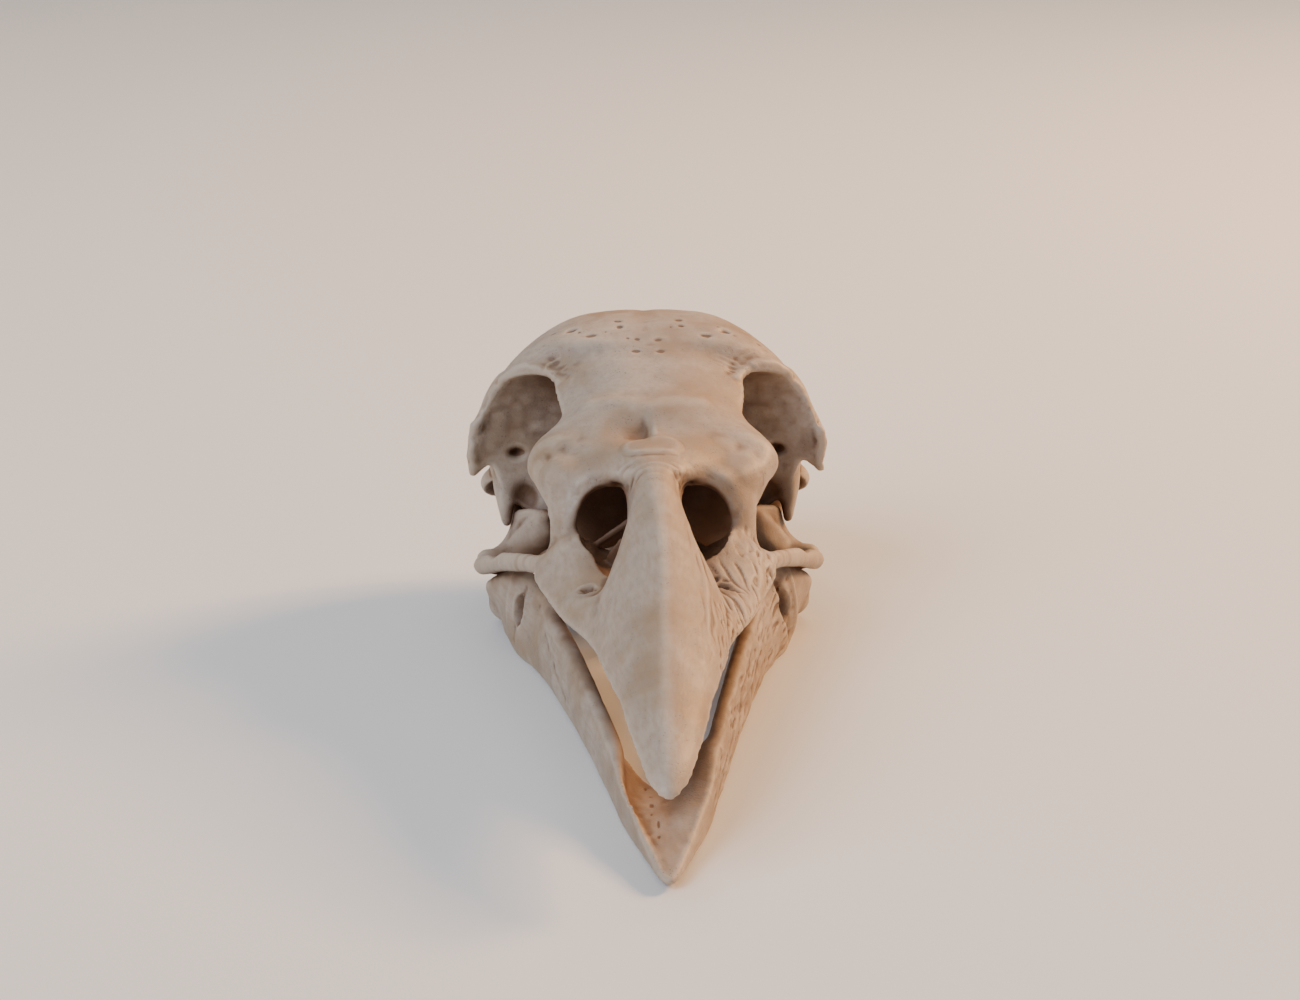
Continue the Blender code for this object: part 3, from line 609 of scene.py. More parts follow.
def add_eye_socket(side):
    """The hollow of an eye: rounded-square sections from the brow lobe to the braincase."""
    angle = turns(64)
    square = 0.72

    def section(y, x, z, wide, high):
        return ring(side * (x + wide * power(np.cos(angle), square)), y,
                    z + high * power(np.sin(angle), square))

    # y, middle x, middle z, half width, half height
    return add_sections(section, [
        (-11.4, 14.0, 15.4, 4.6, 3.0),
        (-10.6, 14.6, 15.0, 9.6, 5.8),
        (-8.4, 15.2, 14.4, 12.8, 8.3),
        (-5.0, 15.4, 14.2, 13.7, 9.3),
        (-2.0, 15.7, 14.8, 13.9, 10.4),
        (0.6, 16.2, 15.6, 13.6, 11.0),
        (2.6, 16.2, 16.6, 12.2, 10.4),
        (4.2, 15.8, 17.0, 9.4, 9.2),
        (5.3, 15.2, 17.4, 7.0, 7.4),
        (6.1, 14.6, 17.6, 4.4, 5.0),
        (6.6, 14.4, 17.6, 2.2, 2.6),
        (6.8, 14.4, 17.6, 0.6, 0.8),
    ])


def add_ridge(size):
    """Premaxilla: gable sections with a crisp ridge, a narrow bar between the nostrils, full in front."""
    quarter = math.pi / 2 * np.arange(1, 21) / 20

    def section(y, width, edge, ridge, crisp):
        x = width * np.sin(quarter) ** crisp
        right = ring(x, y, edge + (ridge - edge) * np.cos(quarter))
        gable = np.vstack([[(0, y, ridge)], right, [(0, y, edge)], right[::-1] * (-1, 1, 1)])
        bow = RIDGE_BOW * math.exp(-((y - BOW_MIDDLE) / BOW_LENGTH) ** 2)
        gable[:, 0] += bow * (gable[:, 2] - edge) / (ridge - edge)
        return gable

    # y, half width, cutting edge, ridge, crispness of the ridge
    return add_sections(section, [
        (-16.0, 4.6, 19.6, 23.6, 0.7),
        (-21.0, 4.0, 18.0, 23.4, 0.7),
        (-25.0, 3.5, 14.2, 23.1, 0.75),
        (-28.0, 3.8, 11.6, 22.5, 0.85),
        (-32.0, 4.9, 9.8, 21.6, 1.05),
        (-36.0, 6.3, 8.8, 20.5, 1.3),
        (-40.0, 7.4, 8.2, 19.5, 1.5),
        (-47.5, 7.7, 8.2, 17.6, 1.6),
        (-55.0, 6.95, 8.3, 15.4, 1.6),
        (-61.0, 5.75, 7.9, 13.4, 1.55),
        (-68.0, 4.45, 7.0, 11.0, 1.5),
        (-73.0, 3.5, 6.0, 9.1, 1.45),
        (-77.0, 2.5, 5.0, 7.3, 1.35),
        (size.bill_tip + 0.7, 1.3, 4.2, 5.6, 1.2),
        (size.bill_tip, 0.5, 3.9, 4.8, 1.0),
    ])


def add_cheeks():
    """Maxilla: the low shelf under the nostrils that flares out to the roots of the jugal rods."""
    angle = turns(64)
    lip = 0.6

    def section(y, width, edge, top):
        rise = np.where(np.sin(angle) > 0, top - edge - lip, lip)
        return ring(width * power(np.cos(angle), 0.9), y, edge + lip + rise * np.sin(angle))

    # y, half width, cutting edge, top in the middle
    return add_sections(section, [
        (-21.4, 12.0, 9.0, 13.0),
        (-23.0, 13.9, 8.6, 15.4),
        (-25.2, 14.6, 8.2, 15.6),
        (-27.4, 14.1, 7.9, 14.4),
        (-30.0, 13.3, 7.7, 13.0),
        (-33.0, 12.6, 7.6, 11.9),
        (-36.0, 11.9, 7.6, 12.0),
        (-39.0, 11.1, 7.7, 12.2),
        (-43.5, 9.6, 7.9, 12.0),
        (-48.0, 8.1, 8.1, 11.4),
        (-54.0, 6.9, 8.2, 10.4),
        (-61.0, 5.5, 7.9, 9.0),
        (-67.0, 4.2, 7.6, 8.2),
    ])


def add_nasal_bar(side):
    """Blade behind the nostril, from the forehead down to the cheek."""
    return add_column(side, [
        (6.4, -17.8, 21.2, 3.6, 2.0, 15),
        (8.8, -18.8, 19.6, 3.4, 1.9, 34),
        (10.4, -20.0, 17.2, 2.8, 1.4, 48),
        (10.9, -21.1, 14.0, 2.5, 1.2, 58),
        (11.1, -22.2, 11.6, 2.8, 1.2, 62),
        (12.0, -23.4, 9.6, 3.1, 1.5, 62),
    ])


def add_jugal(side):
    """Rod from the cheek to the quadrate."""
    return add_tube(side, [
        (13.4, -24.5, 10.4, 1.1, 1.3),
        (14.5, -21.8, 9.7, 1.0, 1.25),
        (15.8, -18.0, 8.6, 0.9, 1.2),
        (18.7, -9.0, 5.7, 0.95, 1.3),
        (20.5, -3.6, 3.6, 1.05, 1.3),
        (21.7, -0.3, 2.4, 1.3, 1.35),
    ])


def head_hollows():
    """Eye sockets, ear hollows, the neck's opening, the window between the eyes, the nose and the palate."""
    # the nostrils' lower ends: the left one runs on far to the front, and the right one stops short
    nostril_ends = {
        -1: [(6.9, -25.6, 14.5, 2.1, 2.0), (6.05, -28.2, 13.5, 1.45, 1.9), (5.25, -31.0, 12.5, 0.9, 1.3),
             (5.0, -33.0, 11.7, 0.3, 0.3)],
        1: [(6.7, -25.2, 14.9, 1.7, 1.7), (6.4, -26.6, 14.4, 1.0, 1.0), (6.2, -27.6, 14.0, 0.3, 0.3)],
    }
    shells = [
        # the neck's opening, and the window in the wall between the eyes
        add_ellipsoid((0, 24.0, 4.2), (3.6, 3.6, 3.6)),
        add_ellipsoid((0, -0.6, 12.6), (5.0, 2.8, 2.2), (-25, 0, 0)),
        # the nose, which bends to the left in front, and the palate's vault
        add_tube(MIDDLE, [
            (0, -16.3, 14.9, 9.7, 4.6),
            (0, -18.0, 15.0, 9.8, 4.6),
            (0, -21.5, 14.8, 9.4, 4.4),
            (-0.2, -25.0, 13.6, 8.6, 3.6),
            (-1.9, -28.5, 12.4, 5.7, 2.4),
            (-1.7, -31.5, 11.6, 4.3, 1.4),
        ], 48),
        add_tube(MIDDLE, [
            (0, -16.0, 7.4, 10.6, 1.6),
            (0, -25.0, 7.4, 10.4, 1.7),
            (0, -35.0, 7.4, 8.8, 1.6),
            (0, -48.0, 7.8, 5.8, 1.6),
            (0, -61.0, 7.6, 3.8, 1.4),
            (0, -72.0, 6.0, 2.0, 1.0),
            (0, -76.0, 5.0, 1.0, 0.5),
        ], 48),
    ]
    for side in SIDES:
        shells += [
            add_eye_socket(side),
            # the nose under the forehead, the ear, and its opening downwards
            add_ellipsoid((side * 5.6, -19.4, 15.2), (3.6, 3.0, 3.2)),
            add_ellipsoid((side * 17.4, 10.8, 7.0), (4.8, 3.3, 4.2), (0, 0, side * 10)),
            add_ellipsoid((side * 16.6, 8.8, 4.4), (4.8, 4.0, 3.2)),
            # the nostril and its lower end
            add_ellipsoid((side * 6.5, -23.4, 16.3), (2.5, 4.4, 3.7), (0, side * -25, 0)),
            add_tube(side, [(6.8, -23.6, 15.0, 1.8, 1.6)] + nostril_ends[side]),
            # the dark hollow under the socket, over the quadrate
            add_ellipsoid((side * 15.9, 3.8, 10.2), (2.2, 2.8, 2.6)),
        ]
    return shells


def model_head(size):
    """Cranium, upper bill and jugal rods in one piece, as they are in life, before they are parted."""
    shells = [add_vault(size), add_forehead(size), add_ridge(size), add_cheeks()]
    # the base of the braincase, and the knob that joins the neck
    shells += [add_ellipsoid((0, 9.0, 3.6), (9.0, 8.4, 2.9)), add_ellipsoid((0, 20.4, 2.9), (1.7, 1.7, 1.4))]
    shells += add_partition()
    for side in SIDES:
        shells += add_skull_side(size, side) + [add_nasal_bar(side), add_jugal(side)]
        # the corner between the forehead and the blade behind the nostril
        shells.append(add_ellipsoid((side * 7.2, -20.2, 18.4), (3.2, 1.7, 2.8)))
    head = merge("head", shells, size.blending, 5)
    soften(head, [((12.4, -15.4, 20.6), (6.0, 6.0, 7.0)), ((6.4, -20.0, 21.8), (6.4, 4.4, 3.4)),
                  ((7.6, -38.0, 11.8), (5.8, 13.0, 5.6)), ((6.0, -57.0, 8.6), (3.2, 16.0, 3.0)),
                  ((11.8, -22.6, 12.2), (4.8, 4.0, 4.8)),
                  ((0.0, -9.0, 27.0), (15.0, 8.0, 6.0)), ((15.0, 3.5, 28.0), (8.0, 6.0, 5.0))], 28)
    carve(head, merge("head_hollows", head_hollows(), size.blending, 2))
    soften(head, [((16.4, 4.8, 18.0), (6.4, 4.0, 9.0)), ((7.6, -21.6, 19.4), (4.6, 3.0, 3.4)),
                  ((2.8, -68.0, 7.4), (4.2, 16.0, 3.2))], 16)
    nose_struts = []
    for side in SIDES:
        nose_struts += [
            add_tube(side, [(9.6, -22.4, 10.4, 0.5, 0.6), (6.6, -22.3, 11.8 - side * 0.7, 0.32, 0.45),
                            (2.4, -22.0, 14.6 - side * 0.7, 0.4, 0.6)]),
            add_tube(side, [(5.4, -25.6, 9.4, 0.45, 1.3), (4.6, -26.0, 11.6, 0.32, 1.2),
                            (3.2, -26.0, 13.8, 0.35, 1.1)]),
        ]
    return merge("head", [head] + nose_struts, size.detail, 6)


def sculpt_head(head):
    """Relief of the braincase, the forehead and the bill."""
    clay = Clay(head)
    # the right socket stands further out than the left one
    clay.carry((11.5, -5.0, 25.0), (8.0, 9.0, 7.0), (0.85, 0.0, 0.0))
    clay.carry((15.0, -12.6, 19.5), (5.0, 5.0, 6.5), (0.4, 0.0, 0.0))
    for side in clay.both_sides():
        # halves of the braincase, the temple's hollow behind the eye, and the dents beside the hindbrain
        clay.swell((9.0, 13.0, 31.0), (8.0, 9.0, 6.0), 0.35)
        clay.swell((20.8, 11.2, 16.5), (5.0, 4.4, 6.6), -0.9)
        clay.swell((17.5, 16.8, 13.0), (5.0, 4.0, 5.0), 0.5)
        clay.swell((6.8, 26.8, 16.4), (3.4, 4.0, 5.2), -0.6)
        clay.swell((5.0, 24.8, 10.6), (3.6, 4.0, 3.0), 0.3)
        # the brow's front lobe runs smoothly into the side of the nose
        clay.swell((9.6, -15.6, 22.5), (2.4, 2.4, 2.4), 0.22)
        clay.swell((12.8, -15.8, 20.8 - 0.5 * side), (1.5, 2.2, 2.4 + 0.8 * side), -0.22)
    # the hindbrain's swelling, and the shallow furrow along the middle of the roof
    clay.swell((0, 28.6, 18.6), (4.2, 5.0, 6.4), 0.9)
    clay.swell((0, 14.0, 33.0), (2.2, 14.0, 5.0), -0.16)
    clay.swell((0, 0.0, 30.4), (4.5, 8.0, 5.0), -0.2)
    # the forehead: a cross ridge, a soft hollow before it, and the flat oval where the bill's root lies
    clay.crease([(-7.4, -8.6, 26.0), (-3.4, -9.9, 26.5), (-0.4, -10.9, 26.6), (2.6, -10.2, 26.6),
                 (6.4, -9.2, 26.1)], 3.0, 0.35)
    clay.swell((-0.7, -14.4, 25.0), (7.5, 3.4, 4.0), -0.4)
    clay.height -= (0.95 * clay.near((-1.3, -15.7, 24.5), (5.8, 4.2, 3.6))
                    * smooth_step(0.6 - clay.points[:, 0], 0.0, 1.7))
    oval = clay.distance((-0.1, -19.8, 23.8), (4.2, 3.0, 3.0))
    clay.height += 0.24 * (1 - smooth_step(oval, 0.7, 1.0))
    # back of the head: crest for the neck's muscles
    for side in clay.both_sides():
        clay.crease([(19.4, 16.2, 8.0), (17.4, 20.2, 13.2), (13.2, 23.6, 18.6), (7.4, 25.8, 21.6),
                     (0, 26.8, 22.8)], 1.3, 0.42, 0.3)
        # rims of the temple's hollow
        clay.crease([(21.4, 9.6, 22.4), (19.6, 14.4, 21.2), (19.6, 16.0, 16.0), (20.0, 13.6, 11.4)],
                    1.1, 0.3, 0.3)
        # bony lip over the eye, with a furrow above it
        clay.crease([(11.4, -0.2, 26.8), (12.6, 1.8, 27.4), (14.4, 3.2, 27.9), (17.0, 4.4, 27.5),
                     (19.2, 5.0, 25.9)], 1.1, 0.32, 0.5, 5 + side)
        corner = clay.near((12.2, 2.4, 28.2), (5.0, 3.8, 3.0), (0, 0, 40))
        flakes = 1 - np.abs(noise(clay.points / np.array((1.5, 0.6, 0.9)), 1.0, 13 + side))
        clay.height += 0.13 * corner * (flakes ** 3 - 0.4)
        clay.crease([(10.2, -0.4, 27.8), (11.4, 2.2, 28.6), (13.4, 4.4, 29.0), (15.4, 5.6, 28.9)],
                    0.9, -0.09, 0.7, 11)
        # uneven outer rim of the eye socket
        rim = clay.along([(19.2, 5.0, 26.0), (20.8, 5.0, 23.8), (22.0, 5.2, 20.6), (22.9, 5.4, 17.0),
                          (22.9, 5.6, 13.6)], 1.5)
        clay.height += rim * (0.6 * noise(clay.points, 1.5, 21 + side) + 0.15
                              + (0.2 + 0.05 * side) * noise(clay.points, 0.7, 24 + side))
        # nerve and vessel holes round the eye
        clay.pit((3.0, 3.6, 15.2), (1.5, 2.0, 1.3), 0.9)
        clay.swell((16.9, 6.2, 15.5), (1.5, 3.0, 1.0), -1.5)
        clay.crease([(1.9, 1.6, 25.0), (1.8, -4.0, 23.8), (2.0, -9.0, 22.4)], 0.9, -0.3)
        clay.pit((4.4, -10.4, 19.4), (0.9, 1.6, 0.7), 0.7)
        clay.pit((12.0, -15.6, 15.8), (0.7, 1.6, 0.9), 0.3)
    clay.settle()
    sculpt_pits(clay)
    sculpt_bill(clay)
    clay.rough(4.0, 0.05, 31)
    clay.rough(1.2, 0.022, 32)
    clay.settle()


def sculpt_pits(clay):
    """Small holes of the roof and of the underside."""
    left_by_wear = 0.66         # share of the roof holes' depth
    # x, y, z, half length across, half length along, depth before wear
    roof = [
        (-9.6, 7.0, 31.6, 0.68, 0.6, 0.55), (10.2, 6.4, 31.3, 0.72, 0.68, 0.7),
        (-3.6, 8.0, 32.3, 0.56, 0.4, 0.35), (4.3, 8.2, 32.2, 0.6, 0.4, 0.35),
        (-3.4, 6.4, 32.2, 0.4, 0.36, 0.35), (4.5, 6.6, 32.1, 0.48, 0.36, 0.35),
        (-7.2, 4.6, 31.5, 0.88, 0.4, 0.3), (7.7, 4.3, 31.3, 0.88, 0.4, 0.35),
        (-1.4, 1.0, 30.4, 0.64, 0.4, 0.28), (1.6, 0.9, 30.4, 0.64, 0.4, 0.28),
        (-1.2, 3.4, 31.2, 0.4, 0.32, 0.2), (1.5, 3.2, 31.2, 0.56, 0.32, 0.22),
        (-2.4, 3.6, 31.2, 0.32, 0.24, 0.18), (14.6, 6.2, 29.4, 0.48, 0.4, 0.3),
        (-12.0, 8.2, 30.6, 0.4, 0.32, 0.2), (-8.6, 5.8, 31.4, 0.24, 0.24, 0.2),
        (9.4, 7.4, 31.6, 0.28, 0.24, 0.2), (11.4, 5.6, 30.6, 0.24, 0.24, 0.2),
        (3.2, 6.2, 32.0, 0.2, 0.24, 0.15), (-5.2, 5.2, 31.8, 0.2, 0.2, 0.15),
    ]
    for x, y, z, across, long, depth in roof:
        clay.pit((x, y, z), (across, long, 2.0), left_by_wear * depth)
    for _ in clay.both_sides():
        clay.pit((6.4, 14.8, 1.6), (0.8, 0.9, 2.0), 0.8)
        clay.pit((3.4, 18.6, 2.2), (0.5, 0.6, 2.0), 0.6)
        clay.pit((5.0, 19.6, 3.4), (0.45, 0.45, 2.0), 0.5)
        clay.crease([(1.0, 2.4, 3.4), (5.6, 7.4, 1.6), (8.6, 12.6, 1.2)], 1.1, 0.3, 0.3)
    # faint cross grooves on the roof over the eyes
    shed = clay.near((0, 5.0, 31.0), (24.0, 10.0, 8.0)) * (clay.normals[:, 2] > 0.2)
    clay.rake(shed, (1.0, 0.3, 0.0), 3.0, 1.2, 0.05, 41)


def sculpt_bill(clay):
    """Relief of the bill: bend zone, nostrils' edges, vessel holes, and the raked right side."""
    x, y, z = clay.points.T
    outer = smooth_step(np.abs(clay.normals[:, 2]), 1.0, 0.4)
    # fine cross wrinkles where the bill bends
    bend = np.exp(-((y + 24.4) / 2.8) ** 2) * smooth_step(z, 19.0, 21.0)
    clay.height += 0.11 * bend * noise(clay.points / np.array((2.4, 0.55, 2.0)), 1.0, 51)
    for _ in clay.both_sides():
        # hollow before the nostril, and the rounded edge behind it
        clay.crease([(5.2, -31.6, 12.6), (6.4, -34.4, 11.6), (7.2, -37.0, 11.0)], 1.9, -0.35)
        clay.crease([(5.6, -21.0, 20.8), (9.4, -22.0, 18.4), (10.6, -23.6, 15.4), (9.6, -26.4, 12.6)],
                    1.3, -0.16)
        # underside: vessel holes in two rows
        for k in range(6):
            clay.pit((2.6 - 0.17 * k, -34.0 - 4.4 * k, 9.0), (0.4, 0.65, 1.4), 0.35)
    clay.crease([(0, -30.0, 9.2), (0, -50.0, 9.4), (0, -70.0, 8.0)], 1.2, -0.3)
    # vessel holes before the nostrils: one deep one on the left, and a cluster on the right
    clay.pit((-8.25, -35.0, 11.3), (0.75, 0.95, 1.3), 1.0, (0, 30, -20))
    for place, radii, depth in (((6.9, -32.8, 11.8), (0.4, 0.5, 1.0), 0.4),
                                ((8.0, -33.0, 11.4), (0.55, 0.5, 1.0), 0.4),
                                ((7.7, -34.6, 11.1), (0.95, 0.6, 1.2), 0.9),
                                ((8.7, -35.4, 10.8), (1.0, 0.5, 1.2), 0.5),
                                ((-6.6, -37.5, 10.9), (0.4, 0.5, 1.0), 0.25)):
        clay.pit(place, radii, depth)
    # fibrous grooves that run forwards and outwards, deep on the right and faint on the left
    band = smooth_step(y, -66.0, -47.0) * smooth_step(-y, 20.5, 25.0) * (z > 6.0)
    right = band * outer * smooth_step(x, 1.6, 3.6)
    left = band * outer * smooth_step(-x, 3.0, 5.6)
    shelf = (band * smooth_step(clay.normals[:, 2], -0.7, -0.3) * smooth_step(x, 4.2, 5.8)
             * smooth_step(-z, -14.5, -10.5))
    clay.rake(right, (0.05, -1.0, -0.34), 5.0, 0.75, 0.25, 61)
    clay.rake(shelf, (0.45, -1.0, -0.3), 2.8, 0.55, 0.36, 67)
    clay.rake(left, (-0.16, -1.0, -0.28), 7.0, 0.9, 0.04, 71)
    # the raised line above the right side's grooves
    clay.crease([(2.6, -25.0, 21.0), (4.1, -36.0, 17.6), (5.0, -47.0, 14.4), (3.8, -60.0, 11.0)], 0.9, 0.22)


# ------ lower jaw

def add_ramus(size, side):
    """One side of the lower jaw: a blade that deepens and flares out towards the joint."""
    angle = turns(48)
    square = 0.75
    share = 0.5 + 0.5 * power(np.sin(angle), square)

    def section(y, upper, lower, top, bottom, thick):
        outer = lower + (upper - lower) * share
        # in front the inner face slopes outwards, up to a thin rim
        deep = thick * (1 - 0.6 * np.clip((-54.0 - y) / 8.0, 0, 1) * share)
        return ring(side * (outer - deep / 2 + deep / 2 * power(np.cos(angle), square)), y,
                    bottom + (top - bottom) * share)

    # y, outer face at the top and at the bottom, top, bottom, thickness
    return add_sections(section, [
        (5.8, 17.6, 16.4, -2.4, -4.4, 2.6),
        (3.2, 21.4, 19.2, -0.4, -5.3, 4.8),
        (0.0, 22.2, 18.9, 0.5, -5.9, 5.2),
        (-4.0, 20.6, 18.6, 2.7, -6.12, 4.4),
        (-9.0, 17.6, 18.4, 4.6, -6.22, 3.5),
        (-12.5, 15.8, 17.5, 4.6, -6.18, 3.1),
        (-15.5, 14.5, 16.2, 3.9, -6.05, 2.9),
        (-22.0, 13.3, 14.0, 2.8, -6.0, 3.0),
        (-28.5, 11.8, 12.5, 2.2, -5.9, 3.0),
        (-36.0, 10.1, 10.7, 1.4, -5.9, 2.7),
        (-46.0, 8.2, 8.6, 0.5, -5.9, 2.6),
        (-53.0, 6.95, 7.3, 0.0, -6.0, 2.5),
        (-59.0, 5.8, 6.0, -0.7, -6.2, 2.0),
        (-64.0, 4.9, 5.0, -1.4, -6.2, 1.4),
        (-69.0, 3.7, 3.75, -2.2, -6.1, 1.2),
        (-74.0, 2.5, 2.4, -3.1, -5.8, 1.1),
        (-78.5, 1.3, 1.2, -4.0, -5.5, 1.1),
        (size.jaw_tip, 0.6, 0.5, -4.5, -5.2, 0.9),
    ])


def add_chin(size):
    """Symphysis: the scoop that joins the two sides behind the tip, with a long slope on its right."""
    angle = turns(32)
    across = np.cos(angle)
    bank = np.where(across > 0, np.clip(across / 0.78, 0, 1) ** 1.15, 0.7 * np.abs(across) ** 4)
    above = np.clip(np.sin(angle) * 4, 0, 1)

    def section(y, width, top, bottom, rise):
        return ring(width * across, y, (top + bottom) / 2 + (top - bottom) / 2 * power(np.sin(angle), 0.7)
                    + rise * bank * above)

    # y, half width, top, bottom, how far the scoop rises to its rims
    return add_sections(section, [
        (-40.5, 8.6, -5.5, -5.9, 0.0),
        (-46.0, 7.3, -4.7, -6.0, 0.6),
        (-49.0, 6.7, -4.4, -6.0, 2.0),
        (-53.0, 6.0, -4.3, -6.0, 3.9),
        (-57.0, 5.4, -4.1, -6.1, 3.6),
        (-62.0, 4.7, -3.7, -6.2, 2.5),
        (-68.0, 3.5, -3.3, -6.1, 1.15),
        (-74.0, 2.1, -3.6, -5.8, 0.4),
        (-78.5, 1.1, -4.2, -5.4, 0.1),
        (size.jaw_tip, 0.5, -4.6, -5.2, 0.0),
    ])


def model_jaw(size):
    """The lower jaw, from its two sides, the chin and the joint cups."""
    shells = [add_chin(size)]
    hollows = [add_tube(MIDDLE, [(-1.1, -57.6, -5.0, 0.4, 2.6), (-1.1, -55.0, -5.0, 1.7, 3.0),
                                 (-0.9, -51.5, -5.0, 2.9, 3.0), (-0.7, -47.5, -5.0, 4.1, 3.0),
                                 (-0.5, -43.5, -5.0, 5.6, 2.6), (0.0, -39.5, -5.0, 7.2, 2.2),
                                 (0.0, -33.0, -5.0, 7.6, 2.0)])]
    for side in SIDES:
        shells += [add_ramus(size, side),
                   add_ellipsoid((side * 17.5, 0.8, -3.0), (3.5, 4.0, 2.6)),
                   add_tube(side, [(16.5, 0.8, -3.4, 2.2, 2.0), (13.6, 1.6, -2.8, 1.7, 1.6),
                                   (11.0, 2.8, -1.8, 1.0, 1.0)])]
        slit = 1.4 if side < 0 else 1.7
        hollows.append(add_ellipsoid((side * 16.0, -11.4, 0.0), (4.4, slit, 2.1)))
    jaw = merge("mandible", shells, size.blending, 3)
    soften(jaw, [((0.0, -69.0, -3.4), (5.0, 14.0, 3.0))], 6)
    soften(jaw, [((4.5, -60.0, -1.8), (3.4, 16.0, 3.2))], 24, (1,))
    carve(jaw, merge("jaw_hollows", hollows, size.blending, 1))
    return merge("mandible", [jaw], size.detail, 4)


def sculpt_jaw(jaw):
    """Relief of the lower jaw."""
    clay = Clay(jaw)
    for side in clay.both_sides():
        # upright groove round the window, between two low ridges
        deep = 0.45 if side < 0 else 0.95
        clay.crease([(16.4, -12.2, 3.4), (17.6, -11.4, 0.0), (18.4, -10.8, -4.0)], 1.7, -deep)
        for place, share in ((-14.2, 0.3 if side > 0 else 0.0), (-8.4, 0.45)):
            clay.crease([(17.0, place, 3.6), (18.0, place, 0.0), (18.8, place, -4.4)], 1.2, share * deep)
        # hollows inside the blade and under the joint, and the swelling for the closing muscle
        clay.swell((13.6, -6.0, -1.0), (2.4, 5.5, 3.0), -0.7)
        clay.swell((16.6, -12.6, 4.4), (1.6, 2.4, 1.4), 0.35)
        clay.swell((21.0, 3.4, -3.0), (2.0, 3.0, 2.0), -0.35)
        clay.swell((18.4, -5.0, -5.2), (3.0, 5.0, 3.0), 0.25 - 0.25 * side)
        # seams between the jaw's bones
        clay.crease([(14.2, -17.0, 2.4), (13.2, -24.0, -0.4), (11.4, -33.0, -3.4)], 1.4, -0.16, 0.4)
        # lip along the cutting edge
        clay.crease([(13.4, -21.0, 2.8), (10.1, -36.0, 1.4), (8.1, -46.0, 0.5), (5.8, -59.0, -0.7),
                     (3.4, -69.5, -2.3)], 0.7, 0.16)
    # a wavering row of vessel holes on the scoop's left
    for k, (shift, long, depth) in enumerate(((0.0, 0.5, 0.14), (0.3, 0.25, 0.1), (0.1, 0.7, 0.16),
                                              (-0.2, 0.3, 0.12), (0.2, 0.9, 0.14), (-0.1, 0.4, 0.16))):
        clay.pit((-2.3 + 0.22 * k + shift, -58.5 - 2.7 * k, -3.6), (0.2, long, 1.5), depth)
    x, y = clay.points.T[:2]
    upright = smooth_step(np.abs(clay.normals[:, 2]), 1.0, 0.2)
    right = upright * smooth_step(x, 4.0, 6.0) * smooth_step(-y, 8.0, 12.0) * smooth_step(y, -72.0, -58.0)
    left = upright * smooth_step(-x, 4.0, 6.0) * smooth_step(-y, 12.0, 18.0) * smooth_step(y, -72.0, -58.0)
    outward = clay.normals[:, 0] * np.sign(x) > 0
    clay.rake(right * outward, (0.34, 1.0, 0.16), 5.0, 0.9, 0.25, 81)
    clay.rake(right * outward, (0.34, 1.0, 0.16), 2.4, 0.6, 0.23, 87)
    clay.rake(left * outward, (-0.34, 1.0, 0.16), 6.0, 1.0, 0.07, 91)
    clay.rough(3.5, 0.05, 95)
    clay.rough(1.1, 0.022, 96)
    clay.settle()


# ------ small bones

def model_quadrate(size, name, side):
    """Link between the braincase and the jaw."""
    shells = [
        add_column(side, [
            (17.3, 11.3, 10.1, 1.3, 1.0, 0),
            (17.1, 11.0, 9.0, 1.9, 1.5, 0),
            (16.6, 9.8, 7.8, 2.2, 1.6, 0),
            (16.0, 7.2, 6.0, 2.1, 1.5, 0),
            (16.2, 4.4, 4.2, 2.9, 1.9, 0),
            (17.9, 2.5, 2.6, 3.8, 2.0, 0),
            (18.2, 1.8, 1.5, 3.6, 1.8, 0),
            (18.0, 1.8, 0.5, 2.8, 1.3, 0),
        ]),
        add_ellipsoid((side * 20.5, 2.2, 2.7), (2.0, 1.3, 1.1)),
        add_column(side, [
            (12.9, -1.2, 9.0, 0.6, 0.5, 0),
            (13.5, -0.6, 7.2, 1.2, 0.6, 12),
            (14.2, 0.0, 5.4, 2.0, 0.7, 14),
            (15.2, 0.8, 3.6, 2.6, 0.9, 14),
            (16.4, 1.2, 2.4, 2.6, 1.0, 14),
        ]),
        add_column(side, [
            (17.0, 2.9, 2.8, 2.6, 1.2, 60),
            (16.4, 2.9, 4.4, 3.2, 1.0, 60),
            (15.9, 2.7, 6.2, 3.7, 0.85, 59),
            (15.2, 2.2, 8.1, 3.9, 0.75, 58),
            (13.9, -0.1, 9.3, 2.8, 0.7, 58),
            (13.0, -1.5, 10.1, 1.0, 0.6, 58),
        ]),
        # between the two plates, so that the front is one smooth curved face
        add_column(side, [
            (13.6, -0.8, 9.2, 1.2, 0.7, 40),
            (14.4, 0.5, 7.2, 2.6, 1.1, 40),
            (15.0, 1.3, 5.4, 3.2, 1.4, 38),
            (15.9, 1.7, 3.6, 3.4, 1.4, 34),
            (16.8, 1.9, 2.4, 3.2, 1.3, 28),
        ]),
    ]
    quadrate = merge(name, [merge(name, shells, size.blending, 7)], size.detail, 3)
    clay = Clay(quadrate, side)
    clay.swell((16.4, 2.4, 6.4), (1.8, 3.0, 2.4), -0.25)
    clay.pit((16.4, 8.2, 5.0), (0.7, 2.0, 0.6), 0.5)
    clay.rough(2.0, 0.05, 101)
    clay.settle()
    return quadrate


